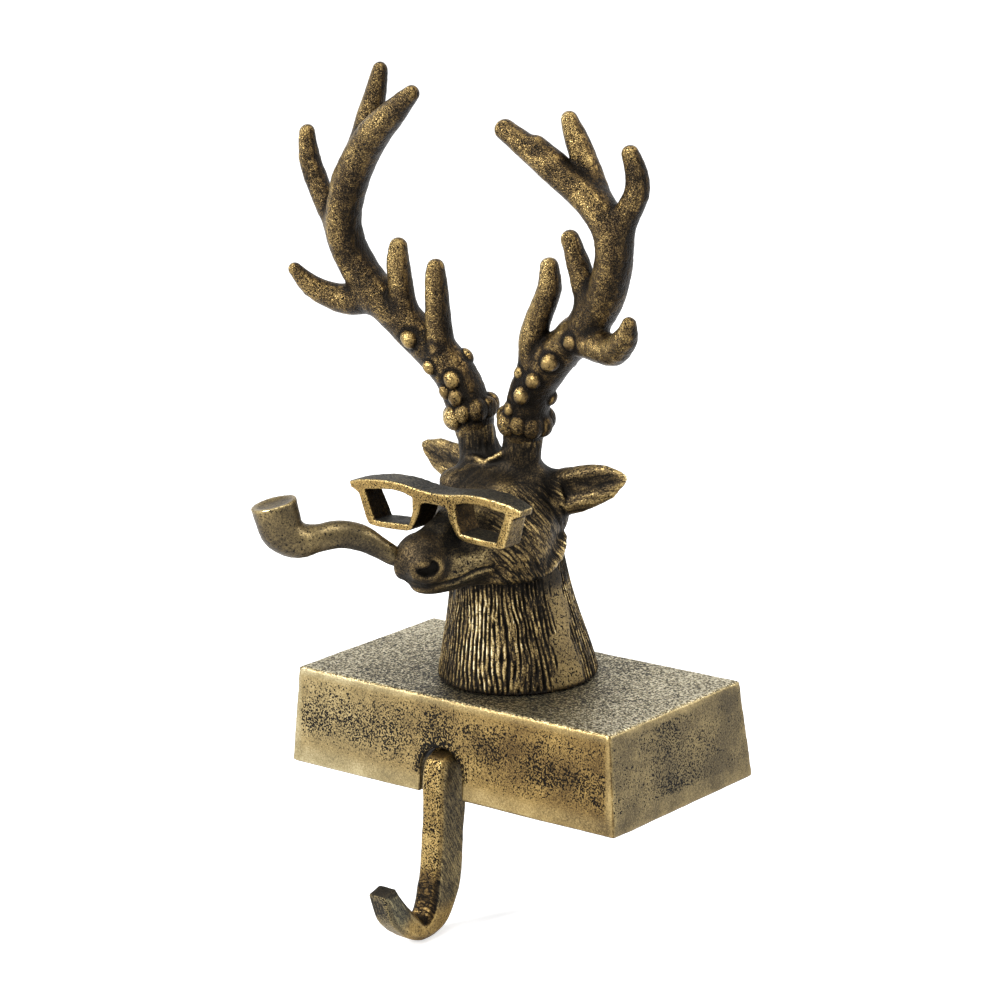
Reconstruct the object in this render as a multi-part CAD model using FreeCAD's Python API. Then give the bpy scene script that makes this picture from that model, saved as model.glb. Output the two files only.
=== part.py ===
"""Mantel stocking holder: a cast deer bust with spectacles and a pipe on a hollow cast base.

A J hook comes out of an arched notch in the base's front wall and hangs below the base.
Millimetres. X runs across the base, -Y is the front, +Z is up. The origin is the centre of
the base on the plane of its pads' undersides. The bust is described in its own frame, whose
origin is the centre of the neck's foot, and is then set on the base's top.
"""
import FreeCAD, Part
import math
import os
from FreeCAD import Placement, Rotation, Vector

# Base casting: a drafted box, open below
BASE_WIDTH = 111.0
BASE_DEPTH = 57.8
BASE_HEIGHT = 27.6
BASE_DRAFT = 2.2
WALL = 4.5
TOP_PLATE = 5.0
FRONT_CORNER = 1.6
BACK_CORNER = 3.0
TOP_EDGE = 0.9
CORNER_STEPS = 3

# Pads under the corner posts
PAD_DIAMETER = 9.5
PAD_THICKNESS = 2.0
PAD_PROUD = 0.5
POST_DIAMETER = 12.0
POST_INSET = 10.5

# Notch for the hook, in the front wall
HOOK_X = -2.1
NOTCH_WIDTH = 15.8
NOTCH_HEIGHT = 13.2

# Hook: a square bar with chamfered edges, and a tang plate inside the base
BAR_WIDTH = 8.4
BAR_CHAMFER = 1.0
# Bar below its upper bend: forward of the base's front rim, below the rim, dip from level, depth
HOOK_STATIONS = (
    (-0.3, 2.2, 84, 10.0), (0.4, 10.2, 83, 10.0), (1.4, 18.0, 80, 10.5), (2.9, 24.8, 64, 10.7),
    (6.6, 31.6, 38, 9.2), (12.1, 34.2, 2, 6.0), (16.7, 31.4, -42, 6.8), (21.3, 26.5, -57, 7.0),
    (24.7, 19.3, -72, 4.4),
)
UPPER_BEND_DROP = 3.6
TANG_WIDTH = 29.0
TANG_SETBACK = 6.5
TANG_DEPTH = 12.2
TANG_THICKNESS = 4.6
TANG_CORNER = 3.0
TANG_HEADROOM = 0.6
BAR_RELIEF = 0.4
HOOK_SCREW_PITCH = 18.0
HOOK_SCREW_SIZE = 4.0
HOOK_SCREW_LENGTH = 11.0
HOOK_HEAD_DIAMETER = 7.6
HOOK_HEAD_HEIGHT = 2.7
HOOK_BOSS_DIAMETER = 9.5

# Screw that holds the bust to the base
BUST_SCREW_SIZE = 6.0
BUST_SCREW_LENGTH = 22.0
BUST_BOSS_DIAMETER = 18.0
BUST_BOSS_DROP = 3.0
WASHER_DIAMETER = 15.0
WASHER_THICKNESS = 1.6
WASHER_BORE_CLEARANCE = 0.6
HEX_ACROSS_FLATS = 10.0
HEX_HEIGHT = 4.0
SCREW_CLEARANCE = 0.4
THREAD_FIT = 0.1
THREAD_END_GAP = 1.5

# Neck: radius and forward lean at heights above the foot
NECK_SECTIONS = (
    (0.0, 22.2, 0.7),
    (2.0, 22.0, 0.7),
    (9.3, 20.4, 0.2),
    (20.8, 17.8, -1.2),
    (33.0, 16.3, -2.4),
    (46.0, 15.0, -2.6),
)

# Head: distance forward of the neck's axis, top, bottom and half width of each section
HEAD_SECTIONS = (
    (-15.5, 56.0, 45.0, 5.0),
    (-12.5, 56.0, 39.0, 10.6),
    (-6.0, 60.0, 34.5, 14.6),
    (5.0, 63.8, 31.6, 16.0),
    (14.0, 59.5, 30.8, 14.2),
    (24.0, 52.6, 30.8, 10.6),
    (33.0, 49.4, 31.2, 8.0),
    (39.5, 47.6, 34.0, 6.8),
    (42.5, 45.4, 36.0, 4.4),
)
NOSE_CENTRE = (38.0, 41.7)
NOSE_RADIUS = 6.9
NOSTRIL_RADIUS = 2.7
NOSTRIL_DEPTH = 1.6
NOSTRIL_CURL = 1.3
NOSTRIL_FORWARD = 35.0
NOSTRIL_DOWN = 4.0
MOUTH_HEIGHT = 34.8
MOUTH_BACK = 22.0
MOUTH_RISE = 1.7
MOUTH_GAP = 1.2
MOUTH_GROOVE = 1.8
BROW_PLACE = (8.6, 13.4, 56.8)
BROW_RADIUS = 4.4

# Ears: share of the way along the ear, half height, half thickness
EAR_ROOT = (12.5, 4.0, 52.0)
EAR_TIP = (36.4, 5.4, 59.6)
EAR_SECTIONS = (
    (0.0, 6.4, 4.8),
    (0.25, 6.3, 3.6),
    (0.5, 5.7, 2.7),
    (0.75, 4.6, 2.0),
    (0.92, 2.6, 1.2),
    (1.0, 0.7, 0.5),
)
EAR_HOLLOW_START = 0.2
EAR_HOLLOW = 0.66
EAR_HOLLOW_DEPTH = 0.9
EAR_TURN = 0.85

# Spectacles: upper and lower edges of one half, and its window, in the front plane
GLASSES_FRONT = 32.0
GLASSES_DEPTH = 8.2
GLASSES_TOP = (
    (0.0, 58.3), (4.5, 58.6), (9.6, 59.3), (14.0, 59.7), (18.7, 59.5), (23.3, 59.1), (27.0, 58.5), (30.3, 57.6),
)
GLASSES_BOTTOM = (
    (0.0, 55.2), (4.2, 54.7), (5.2, 52.0), (6.9, 48.8), (8.8, 46.8), (12.3, 46.2), (19.3, 46.0), (23.2, 46.3),
    (24.2, 47.2), (25.7, 51.0), (27.0, 54.6), (29.8, 55.8),
)
GLASSES_WINDOW = (
    (7.6, 56.1), (10.5, 56.8), (14.5, 57.1), (18.0, 56.9), (24.6, 56.0), (23.5, 53.2), (21.4, 47.8), (15.7, 48.0),
    (9.2, 48.4), (7.9, 52.0),
)

# Pipe: points along it from inside the mouth to the bowl's rim, with the radius there
PIPE_STEM = (
    (-3.2, -37.5, 40.2, 2.4),
    (-5.0, -42.8, 42.8, 2.6),
    (-7.2, -46.8, 46.1, 3.0),
    (-9.9, -51.1, 49.2, 3.6),
    (-13.0, -55.6, 50.5, 3.7),
    (-16.2, -60.2, 50.1, 3.8),
    (-19.0, -64.8, 50.2, 4.8),
    (-21.3, -67.9, 53.0, 5.7),
    (-22.0, -68.9, 57.0, 6.0),
    (-22.6, -69.5, 60.9, 6.15),
)
PIPE_RIM_WALL = 0.9
PIPE_RIM_DEPTH = 0.8

# Antler seats: the pedicles on the skull and the spigots in them
PEDICLE = ((6.3, -2.0, 56.5, 7.2), (7.0, -3.6, 62.5, 5.6), (9.0, -4.0, 71.5, 5.5))
SPIGOT_DIAMETER = 6.0
SPIGOT_LENGTH = 8.0
BURR_RADIUS = 7.3
BURR_HEIGHT = 5.6
BURR_UNDERCUT = 0.4
BURR_BUMPS = 9
BUMP_RADIUS = 2.2
BUMP_HEIGHT = 1.0
BUMP_SINK = 0.6
PEARL_RADIUS = 1.9
PEARL_HEIGHT = 1.1
PEARL_TAPER = 0.7
PEARL_SINK = 0.3
PEARL_ROOT = 0.9

# Antlers: x outwards, y, height above the neck's foot, radius; each beam starts on its pedicle
RIGHT_ANTLER = {
    "beam": (
        (12, -5, 81.3, 5.6), (16.5, -6, 87.3, 5.3), (24, -6.4, 92.8, 5.0),
        (38, -8, 104, 4.9), (44.5, -9, 112, 4.9), (47, -11, 120.3, 4.8), (45.6, -12, 128.8, 4.7),
        (40.7, -12, 139.8, 4.5), (32.7, -13, 149.6, 4.2), (23.2, -14, 157.4, 3.3), (17.2, -14.7, 161.8, 2.4),
    ),
    "brow tine": ((14, -6, 85.8, 3.6), (16, -8, 93.3, 3.4), (16, -9, 107.3, 2.9), (16, -9, 113.8, 2.2)),
    "bez tine": ((25, -6, 93.3, 3.2), (28.3, -8, 100.3, 3.2), (29.4, -9, 113, 2.9), (29.2, -9, 118.4, 2.2)),
    "outer tine": (
        (38, -8, 104, 4.2), (44, -9, 102.5, 4.1), (50.5, -11, 102.5, 3.9), (57, -14, 105.5, 3.3),
        (60.9, -16.6, 110.4, 2.1),
    ),
    "back tine": (
        (46.5, -11, 119.8, 3.6), (52, -10, 124.8, 3.5), (57.5, -9, 132.8, 3.4), (60.3, -9.2, 140.3, 3.2),
        (60.3, -9.8, 147.6, 2.4),
    ),
    "mid tine": (
        (45, -11, 135.8, 3.5), (41.5, -9, 144.3, 3.4), (38.5, -8, 153.3, 3.3), (35.5, -8, 161.3, 3.0),
        (34, -8, 166.3, 2.3),
    ),
}
LEFT_ANTLER = {
    "beam": (
        (13, -5, 82.8, 5.6), (19.5, -6, 90.3, 5.3), (26.5, -6.4, 96.8, 5.0),
        (34, -7, 102.8, 4.9), (40.5, -8, 110.3, 4.9), (44.5, -9, 118.3, 4.8), (46.5, -10, 125.8, 4.7),
        (45, -11, 132.0, 4.4), (39.6, -12, 138, 4.0), (30.6, -13, 144.2, 3.6), (14.9, -14.7, 154.5, 2.6),
    ),
    "brow tine": (
        (14.5, -6, 88.3, 3.6), (16.2, -8, 96.8, 3.4), (19.4, -9, 103.8, 3.2), (23.4, -9, 112, 2.9),
        (23.6, -9, 118, 2.2),
    ),
    "bez tine": ((34.5, -7, 102.8, 3.4), (35.5, -8, 109.8, 3.2), (34.6, -9, 116.5, 3.0), (31, -9, 126, 2.2)),
    "outer tine": (
        (30, -6, 99.6, 4.2), (38.5, -9, 98.8, 4.1), (47, -12, 98.8, 3.8), (53.2, -15, 103, 3.3),
        (55.6, -16.6, 107.3, 2.2),
    ),
    "back tine": (
        (46.5, -10, 125.8, 3.6), (50, -10, 132.8, 3.5), (54, -10, 139.8, 3.4), (54.2, -10, 145.3, 3.1),
        (53.2, -11, 150.4, 2.4),
    ),
    "mid tine": (
        (46, -10, 128.8, 3.6), (41.2, -9, 136.3, 3.3), (37.2, -8, 143.8, 3.1), (33.7, -8, 151.3, 2.9),
        (31, -8, 157.5, 2.2),
    ),
}
# Pearls of an antler: place along the beam as a share of it, and angle around it from the front
RIGHT_PEARLS = (
    (0.07, -15), (0.09, 15), (0.11, -25), (0.19, 15), (0.21, -50), (0.28, -5), (0.10, 120), (0.15, -120), (0.20, 160),
)
LEFT_PEARLS = (
    (0.05, -18), (0.10, 12), (0.14, -35), (0.16, 17), (0.235, 20), (0.33, 20), (0.10, 110), (0.16, -110), (0.22, 150),
)

# How finely the rounded forms are divided
HOOK_STEPS = 2
LIMB_SIDES = 10
LIMB_STEPS = 2
TIP_SHARES = (0.6, 0.93)
BURR_STEPS = 4
PEARL_SIDES = 7
PEARL_STEPS = 12
NECK_SIDES = 28
NECK_STEPS = 2
SKULL_SIDES = 20
SKULL_STEPS = 2
SKULL_FULLNESS = 1.12
EAR_SIDES = 12
BALL_SIDES = 14
BALL_RINGS = 6

RIM = PAD_PROUD
FRONT_RIM = BASE_DEPTH / 2 + BASE_DRAFT
TANG_FRONT = FRONT_RIM - TANG_SETBACK
TOP = RIM + BASE_HEIGHT
PLATE_UNDERSIDE = TOP - TOP_PLATE


def rounded_rectangle(width, depth, front_radius, back_radius, height):
    """Closed many-sided wire of a rectangle whose front and back corners have their own radii."""
    corners = (
        (width / 2, -depth / 2, front_radius, -90),
        (width / 2, depth / 2, back_radius, 0),
        (-width / 2, depth / 2, back_radius, 90),
        (-width / 2, -depth / 2, front_radius, 180),
    )
    points = []
    for x, y, radius, start in corners:
        centre = Vector(x - math.copysign(radius, x), y - math.copysign(radius, y), height)
        for i in range(CORNER_STEPS + 1):
            turn = math.radians(start + 90 * i / CORNER_STEPS)
            points.append(centre + Vector(radius * math.cos(turn), radius * math.sin(turn), 0))
    return Part.makePolygon(points + points[:1])


def cylinder(diameter, height, x, y, z):
    return Part.makeCylinder(diameter / 2, height, Vector(x, y, z))


def draft_at(height):
    """How far each side of the base stands out at a height, beyond its top edge."""
    return BASE_DRAFT * (TOP - height) / BASE_HEIGHT


def base_ring(inset, height):
    """Outline of the base's drafted form at a height, drawn in by inset."""
    out = 2 * (draft_at(height) - inset)
    return rounded_rectangle(BASE_WIDTH + out, BASE_DEPTH + out, FRONT_CORNER, BACK_CORNER, height)


def base_block():
    """The base's outside, with its top edge rounded over."""
    rings = [base_ring(0, RIM)]
    for i in range(CORNER_STEPS + 1):
        turn = math.pi / 2 * i / CORNER_STEPS
        rings.append(base_ring(TOP_EDGE * (1 - math.cos(turn)), TOP - TOP_EDGE * (1 - math.sin(turn))))
    return skin(rings)


def hook_screw_places():
    y = TANG_DEPTH / 2 - TANG_FRONT
    return [(HOOK_X + side * HOOK_SCREW_PITCH / 2, y) for side in (-1, 1)]


def post_places():
    x = BASE_WIDTH / 2 - POST_INSET
    y = BASE_DEPTH / 2 - POST_INSET
    return [(sx * x, sy * y) for sy in (-1, 1) for sx in (-1, 1)]


def tang_top():
    return RIM + NOTCH_HEIGHT - TANG_HEADROOM


def bust_boss_low():
    return PLATE_UNDERSIDE - BUST_BOSS_DROP


def base_casting():
    body = base_block().cut(skin([base_ring(WALL, RIM - 1), base_ring(WALL, PLATE_UNDERSIDE)]))
    bosses = [cylinder(BUST_BOSS_DIAMETER, BUST_BOSS_DROP + TOP_PLATE / 2, 0, 0, bust_boss_low())]
    for x, y in hook_screw_places():
        bosses.append(cylinder(HOOK_BOSS_DIAMETER, PLATE_UNDERSIDE + TOP_PLATE / 2 - tang_top(), x, y, tang_top()))
    for x, y in post_places():
        bosses.append(cylinder(POST_DIAMETER, PLATE_UNDERSIDE + TOP_PLATE / 2 - PAD_THICKNESS, x, y, PAD_THICKNESS))
    body = body.fuse(bosses)
    arch = NOTCH_WIDTH / 2
    spring = RIM + NOTCH_HEIGHT - arch
    cut_depth = WALL + 2 * BASE_DRAFT + 1
    front = -(FRONT_RIM + 1)
    notch = Part.makeBox(NOTCH_WIDTH, cut_depth, spring - RIM + 1, Vector(HOOK_X - arch, front, RIM - 1))
    notch = notch.fuse(Part.makeCylinder(arch, cut_depth, Vector(HOOK_X, front, spring), Vector(0, 1, 0)))
    body = body.cut(notch)
    holes = [cylinder(BUST_SCREW_SIZE + SCREW_CLEARANCE, BASE_HEIGHT, 0, 0, RIM)]
    tap_depth = HOOK_SCREW_LENGTH - TANG_THICKNESS + THREAD_END_GAP
    for x, y in hook_screw_places():
        holes.append(cylinder(HOOK_SCREW_SIZE + THREAD_FIT, tap_depth, x, y, tang_top()))
    return body.cut(holes).removeSplitter()


def bar_section(forward, height, dip, depth):
    """Chamfered section of the bar, square to the way the bar runs, which dips from level."""
    dip = math.radians(dip)
    across = Vector(0, -math.sin(dip), math.cos(dip))
    w, d, c = BAR_WIDTH / 2, depth / 2, BAR_CHAMFER
    corners = ((w - c, -d), (w, c - d), (w, d - c), (w - c, d), (c - w, d), (-w, d - c), (-w, c - d), (c - w, -d))
    points = [Vector(HOOK_X, -forward, height) + Vector(a, 0, 0) + across * b for a, b in corners]
    return Part.makePolygon(points + points[:1])


def stocking_hook():
    top = tang_top()
    level = top - TANG_THICKNESS / 2
    stations = [(FRONT_RIM + out, RIM - drop, dip, depth) for out, drop, dip, depth in HOOK_STATIONS]
    shank, _, _, depth = stations[0]
    rows = [
        (TANG_FRONT - TANG_CORNER, level, 0, TANG_THICKNESS - BAR_RELIEF),
        (TANG_FRONT, level, 0, TANG_THICKNESS - BAR_RELIEF),
        ((TANG_FRONT + shank) / 2, level - UPPER_BEND_DROP * 0.1, 18, TANG_THICKNESS * 1.15),
        (shank - 0.6, level - UPPER_BEND_DROP * 0.8, 60, depth * 0.88),
    ]
    rows += stations
    bar = skin([bar_section(*row) for row in smooth(rows, HOOK_STEPS)])
    low = top - TANG_THICKNESS
    corner = Vector(HOOK_X - TANG_WIDTH / 2, -TANG_FRONT, low)
    plate = Part.makeBox(TANG_WIDTH, TANG_DEPTH, TANG_THICKNESS, corner)
    upright = [e for e in plate.Edges if abs(e.Vertexes[0].Z - e.Vertexes[1].Z) > 1]
    plate = plate.makeFillet(TANG_CORNER, upright)
    hook = plate.fuse(bar)
    holes = [cylinder(HOOK_SCREW_SIZE + SCREW_CLEARANCE, TANG_THICKNESS + 2, x, y, low - 1) for x, y in hook_screw_places()]
    return hook.cut(holes).removeSplitter()


def hook_screw(x, y):
    low = tang_top() - TANG_THICKNESS
    shank = cylinder(HOOK_SCREW_SIZE, HOOK_SCREW_LENGTH, x, y, low)
    edge = HOOK_HEAD_HEIGHT / 2
    head = cylinder(HOOK_HEAD_DIAMETER, edge, x, y, low - edge)
    foot = Vector(x, y, low - HOOK_HEAD_HEIGHT)
    head = head.fuse(Part.makeCone(HOOK_HEAD_DIAMETER / 2 - edge, HOOK_HEAD_DIAMETER / 2, edge, foot))
    slot_width, slot_depth = HOOK_HEAD_DIAMETER * 0.16, HOOK_HEAD_HEIGHT * 0.45
    slot_corner = Vector(x - HOOK_HEAD_DIAMETER / 2, y - slot_width / 2, low - HOOK_HEAD_HEIGHT - 1)
    slot = Part.makeBox(HOOK_HEAD_DIAMETER, slot_width, slot_depth + 1, slot_corner)
    return shank.fuse(head).cut(slot).removeSplitter()


def bust_washer():
    low = bust_boss_low() - WASHER_THICKNESS
    ring = cylinder(WASHER_DIAMETER, WASHER_THICKNESS, 0, 0, low)
    return ring.cut(cylinder(BUST_SCREW_SIZE + WASHER_BORE_CLEARANCE, WASHER_THICKNESS + 2, 0, 0, low - 1))


def bust_screw():
    seat = bust_boss_low() - WASHER_THICKNESS
    corner = HEX_ACROSS_FLATS / math.sqrt(3)
    ring = [Vector(corner * math.cos(i * math.pi / 3), corner * math.sin(i * math.pi / 3), seat - HEX_HEIGHT) for i in range(7)]
    head = Part.Face(Part.makePolygon(ring)).extrude(Vector(0, 0, HEX_HEIGHT))
    return head.fuse(cylinder(BUST_SCREW_SIZE, BUST_SCREW_LENGTH, 0, 0, seat)).removeSplitter()


def pad(x, y):
    return cylinder(PAD_DIAMETER, PAD_THICKNESS, x, y, 0)


def smooth(rows, steps):
    """Rows of numbers with more rows worked in between, on a smooth curve through them all."""
    fine = []
    last = len(rows) - 1
    for i in range(last):
        four = rows[max(i - 1, 0)], rows[i], rows[i + 1], rows[min(i + 2, last)]
        for j in range(steps):
            t = j / steps
            fine.append(tuple(
                0.5 * (2 * b + (c - a) * t + (2 * a - 5 * b + 4 * c - d) * t * t + (3 * b - a - 3 * c + d) * t ** 3)
                for a, b, c, d in zip(*four)
            ))
    fine.append(tuple(rows[-1]))
    return fine


def oval(centre, u, v, half_u, half_v, sides, fullness=1.0):
    """Many-sided closed wire round a centre; fullness above 1 squares it a little."""
    points = []
    for i in range(sides):
        turn = 2 * math.pi * (i + 0.5) / sides
        c, s = math.cos(turn), math.sin(turn)
        a = math.copysign(abs(c) ** (1 / fullness), c) * half_u
        b = math.copysign(abs(s) ** (1 / fullness), s) * half_v
        points.append(centre + u * a + v * b)
    return Part.makePolygon(points + points[:1])


def skin(wires):
    return Part.makeLoft(wires, True, True)


def ring_wire(centre, along, radius, sides):
    """Round wire square to a direction, with its first corner always on the same side."""
    along = Vector(along).normalize()
    u = Vector(0, 1, 0).cross(along).normalize()
    return oval(centre, u, along.cross(u), radius, radius, sides)


def limb(rows, side=1, start=None, end=None, round_end=True):
    """Round solid along a smooth curve through rows of x, y, z and radius; x is turned by side."""
    rows = smooth([(side * x, y, z, radius) for x, y, z, radius in rows], LIMB_STEPS)
    points = [Vector(*row[:3]) for row in rows]
    wires = []
    for i, (point, row) in enumerate(zip(points, rows)):
        along = points[min(i + 1, len(points) - 1)] - points[max(i - 1, 0)]
        if i == 0 and start is not None:
            along = start
        if i == len(points) - 1 and end is not None:
            along = end
        wires.append(ring_wire(point, along, row[3], LIMB_SIDES))
    if round_end:
        along = (points[-1] - points[-2]).normalize()
        radius = rows[-1][3]
        for share in TIP_SHARES:
            reach = points[-1] + along * radius * share
            wires.append(ring_wire(reach, along, radius * math.sqrt(1 - share ** 2), LIMB_SIDES))
    return skin(wires)


def ball(centre, radius):
    """Many-sided ball, its poles on the front and back."""
    wires = []
    for i in range(BALL_RINGS + 1):
        turn = math.pi * (i + 0.5) / (BALL_RINGS + 1)
        place = centre + Vector(0, radius * math.cos(turn), 0)
        wires.append(oval(place, Vector(1, 0, 0), Vector(0, 0, 1), *[radius * math.sin(turn)] * 2, BALL_SIDES))
    return skin(wires)


def seat_of(side):
    """Place and direction of the joint between a pedicle and its antler."""
    x, y, z, _ = PEDICLE[-1]
    return Vector(side * x, y, z), Vector(side * 0.25, -0.05, 1.0).normalize()


def pearl(place, out, radius, height):
    """Small flat-topped boss standing on a surface."""
    out = Vector(out).normalize()
    u = out.cross(Vector(0.3, 0.2, 0.9)).normalize()
    v = out.cross(u)
    foot = oval(place - out * PEARL_ROOT, u, v, radius, radius, PEARL_SIDES)
    top = oval(place + out * height, u, v, radius * PEARL_TAPER, radius * PEARL_TAPER, PEARL_SIDES)
    return skin([foot, top])


def turned(vector, axis, degrees):
    return Rotation(axis, degrees).multVec(vector)


def burr(seat, axis):
    """Ring at the foot of an antler, with a row of bumps round it."""
    stem = PEDICLE[-1][3]
    wires = []
    for i in range(BURR_STEPS + 1):
        turn = math.pi * i / BURR_STEPS
        lift = BURR_HEIGHT * (1 - math.cos(turn)) / 2
        radius = stem - BURR_UNDERCUT + (BURR_RADIUS - stem + BURR_UNDERCUT) * math.sin(turn)
        wires.append(ring_wire(seat + axis * lift, axis, radius, LIMB_SIDES))
    pieces = []
    u = Vector(0, 1, 0).cross(axis).normalize()
    for i in range(BURR_BUMPS):
        out = turned(u, axis, 360 * i / BURR_BUMPS)
        place = seat + axis * BURR_HEIGHT / 2 + out * (BURR_RADIUS - BUMP_SINK)
        pieces.append(pearl(place, out, BUMP_RADIUS, BUMP_HEIGHT))
    return [skin(wires)] + pieces


def antler(rows_by_name, pearls, side):
    seat, axis = seat_of(side)
    beam_rows = PEDICLE[-1:] + rows_by_name["beam"]
    pieces = [limb(beam_rows, side, start=axis)]
    pieces += [limb(rows, side) for name, rows in rows_by_name.items() if name != "beam"]
    pieces += burr(seat, axis)
    beam = smooth([(side * x, y, z, radius) for x, y, z, radius in beam_rows], PEARL_STEPS)
    for share, angle in pearls:
        i = round(share * (len(beam) - 1))
        point = Vector(*beam[i][:3])
        along = (Vector(*beam[i + 1][:3]) - Vector(*beam[i - 1][:3])).normalize()
        front = Vector(0, -1, 0)
        front = (front - along * front.dot(along)).normalize()
        out = turned(front, along, side * angle)
        pieces.append(pearl(point + out * (beam[i][3] - PEARL_SINK), out, PEARL_RADIUS, PEARL_HEIGHT))
    pieces.append(Part.makeCylinder(SPIGOT_DIAMETER / 2, SPIGOT_LENGTH + 1, seat - axis * SPIGOT_LENGTH, axis))
    return pieces[0].fuse(pieces[1:])


def neck():
    wires = []
    for height, radius, lean in smooth(NECK_SECTIONS, NECK_STEPS):
        wires.append(oval(Vector(0, lean, height), Vector(1, 0, 0), Vector(0, 1, 0), radius, radius, NECK_SIDES))
    return skin(wires)


def skull(sections=HEAD_SECTIONS, inset=0.0):
    """The head without its nose; inset draws its sides and front in."""
    wires = []
    for forward, high, low, half in smooth(sections, SKULL_STEPS):
        centre = Vector(0, inset - forward, (high + low) / 2)
        wires.append(oval(centre, Vector(1, 0, 0), Vector(0, 0, 1), half - inset, (high - low) / 2, SKULL_SIDES, SKULL_FULLNESS))
    return skin(wires)


def deer_head():
    nose_centre = Vector(0, -NOSE_CENTRE[0], NOSE_CENTRE[1])
    pieces = [skull(), ball(nose_centre, NOSE_RADIUS)]
    for side in (-1, 1):
        x, forward, height = BROW_PLACE
        pieces.append(ball(Vector(side * x, -forward, height), BROW_RADIUS))
        pieces.append(ear(side))
        pieces.append(limb(PEDICLE, side, end=seat_of(side)[1], round_end=False))
    whole = neck().fuse(pieces)
    cuts = [mouth(), spectacles()]
    for side in (-1, 1):
        seat, axis = seat_of(side)
        depth = SPIGOT_LENGTH + THREAD_END_GAP
        cuts.append(Part.makeCylinder((SPIGOT_DIAMETER + THREAD_FIT) / 2, depth + 1, seat - axis * depth, axis))
        cuts.append(nostril(side, nose_centre))
    grip = BUST_SCREW_LENGTH - WASHER_THICKNESS - BUST_BOSS_DROP - TOP_PLATE
    cuts.append(cylinder(BUST_SCREW_SIZE + THREAD_FIT, grip + THREAD_END_GAP + 1, 0, 0, -1))
    cuts.append(limb(PIPE_STEM, round_end=False))
    return whole.cut(cuts)


def mouth():
    """Groove between the lips, open on the front and both sides."""
    front = NOSE_CENTRE[0] + NOSE_RADIUS + 2
    profile = [
        Vector(0, -front, MOUTH_HEIGHT), Vector(0, -MOUTH_BACK, MOUTH_HEIGHT + MOUTH_RISE),
        Vector(0, -MOUTH_BACK, MOUTH_HEIGHT + MOUTH_RISE + MOUTH_GAP / 4), Vector(0, -front, MOUTH_HEIGHT + MOUTH_GAP),
    ]
    reach = max(section[3] for section in HEAD_SECTIONS)
    blade = Part.Face(Part.makePolygon(profile + profile[:1])).extrude(Vector(2 * reach, 0, 0))
    blade.translate(Vector(-reach, 0, 0))
    return blade.cut(skull(HEAD_SECTIONS[4:], MOUTH_GROOVE))


def nostril(side, nose_centre):
    """Round recess with a curl standing in it, on one side of the nose."""
    turn, down = math.radians(NOSTRIL_FORWARD), math.radians(NOSTRIL_DOWN)
    out = Vector(side * math.cos(turn), -math.sin(turn), -math.sin(down)).normalize()
    base = nose_centre + out * (NOSE_RADIUS - NOSTRIL_DEPTH)
    pocket = Part.makeCylinder(NOSTRIL_RADIUS, NOSTRIL_DEPTH + 2, base, out)
    return pocket.cut(Part.makeCylinder(NOSTRIL_CURL, NOSTRIL_DEPTH, base - out * 0.4, out))


def ear(side):
    """Pointed leaf with a hollow front."""
    root, tip = (Vector(side * x, y, z) for x, y, z in (EAR_ROOT, EAR_TIP))
    along = tip - root
    thick = Vector(0, 1, 0)
    across = along.cross(thick).normalize()
    thick = across.cross(along).normalize()
    wires, hollow = [], []
    for share, half, depth in smooth(EAR_SECTIONS, 2):
        centre = root + along * share
        wires.append(oval(centre, across, thick, half, depth, EAR_SIDES))
        if EAR_HOLLOW_START < share < 1:
            front = centre - thick * (depth * EAR_TURN)
            hollow.append(oval(front, across, thick, half * EAR_HOLLOW, depth * EAR_HOLLOW_DEPTH, EAR_SIDES))
    return skin(wires).cut(skin(hollow))


def half_outline(points, side):
    return [Vector(side * x, 0, z) for x, z in points]


def spectacles():
    """Frame with two windows, cut through from front to back."""
    ring = half_outline(GLASSES_TOP + GLASSES_BOTTOM[::-1], 1)
    ring += half_outline(GLASSES_BOTTOM[1:] + GLASSES_TOP[:0:-1], -1)
    frame = Part.Face(Part.makePolygon(ring + ring[:1])).extrude(Vector(0, GLASSES_DEPTH, 0))
    windows = []
    for side in (-1, 1):
        ring = [Vector(side * x, -1, z) for x, z in GLASSES_WINDOW]
        windows.append(Part.Face(Part.makePolygon(ring + ring[:1])).extrude(Vector(0, GLASSES_DEPTH + 2, 0)))
    frame = frame.cut(windows)
    frame.translate(Vector(0, -GLASSES_FRONT, 0))
    return frame


def pipe():
    body = limb(PIPE_STEM, round_end=False)
    x, y, z, radius = PIPE_STEM[-1]
    rim = Vector(x, y, z)
    along = (rim - Vector(*PIPE_STEM[-2][:3])).normalize()
    dish = Part.makeCylinder(radius - PIPE_RIM_WALL, PIPE_RIM_DEPTH + 2, rim - along * PIPE_RIM_DEPTH, along)
    return body.cut(dish)


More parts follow.
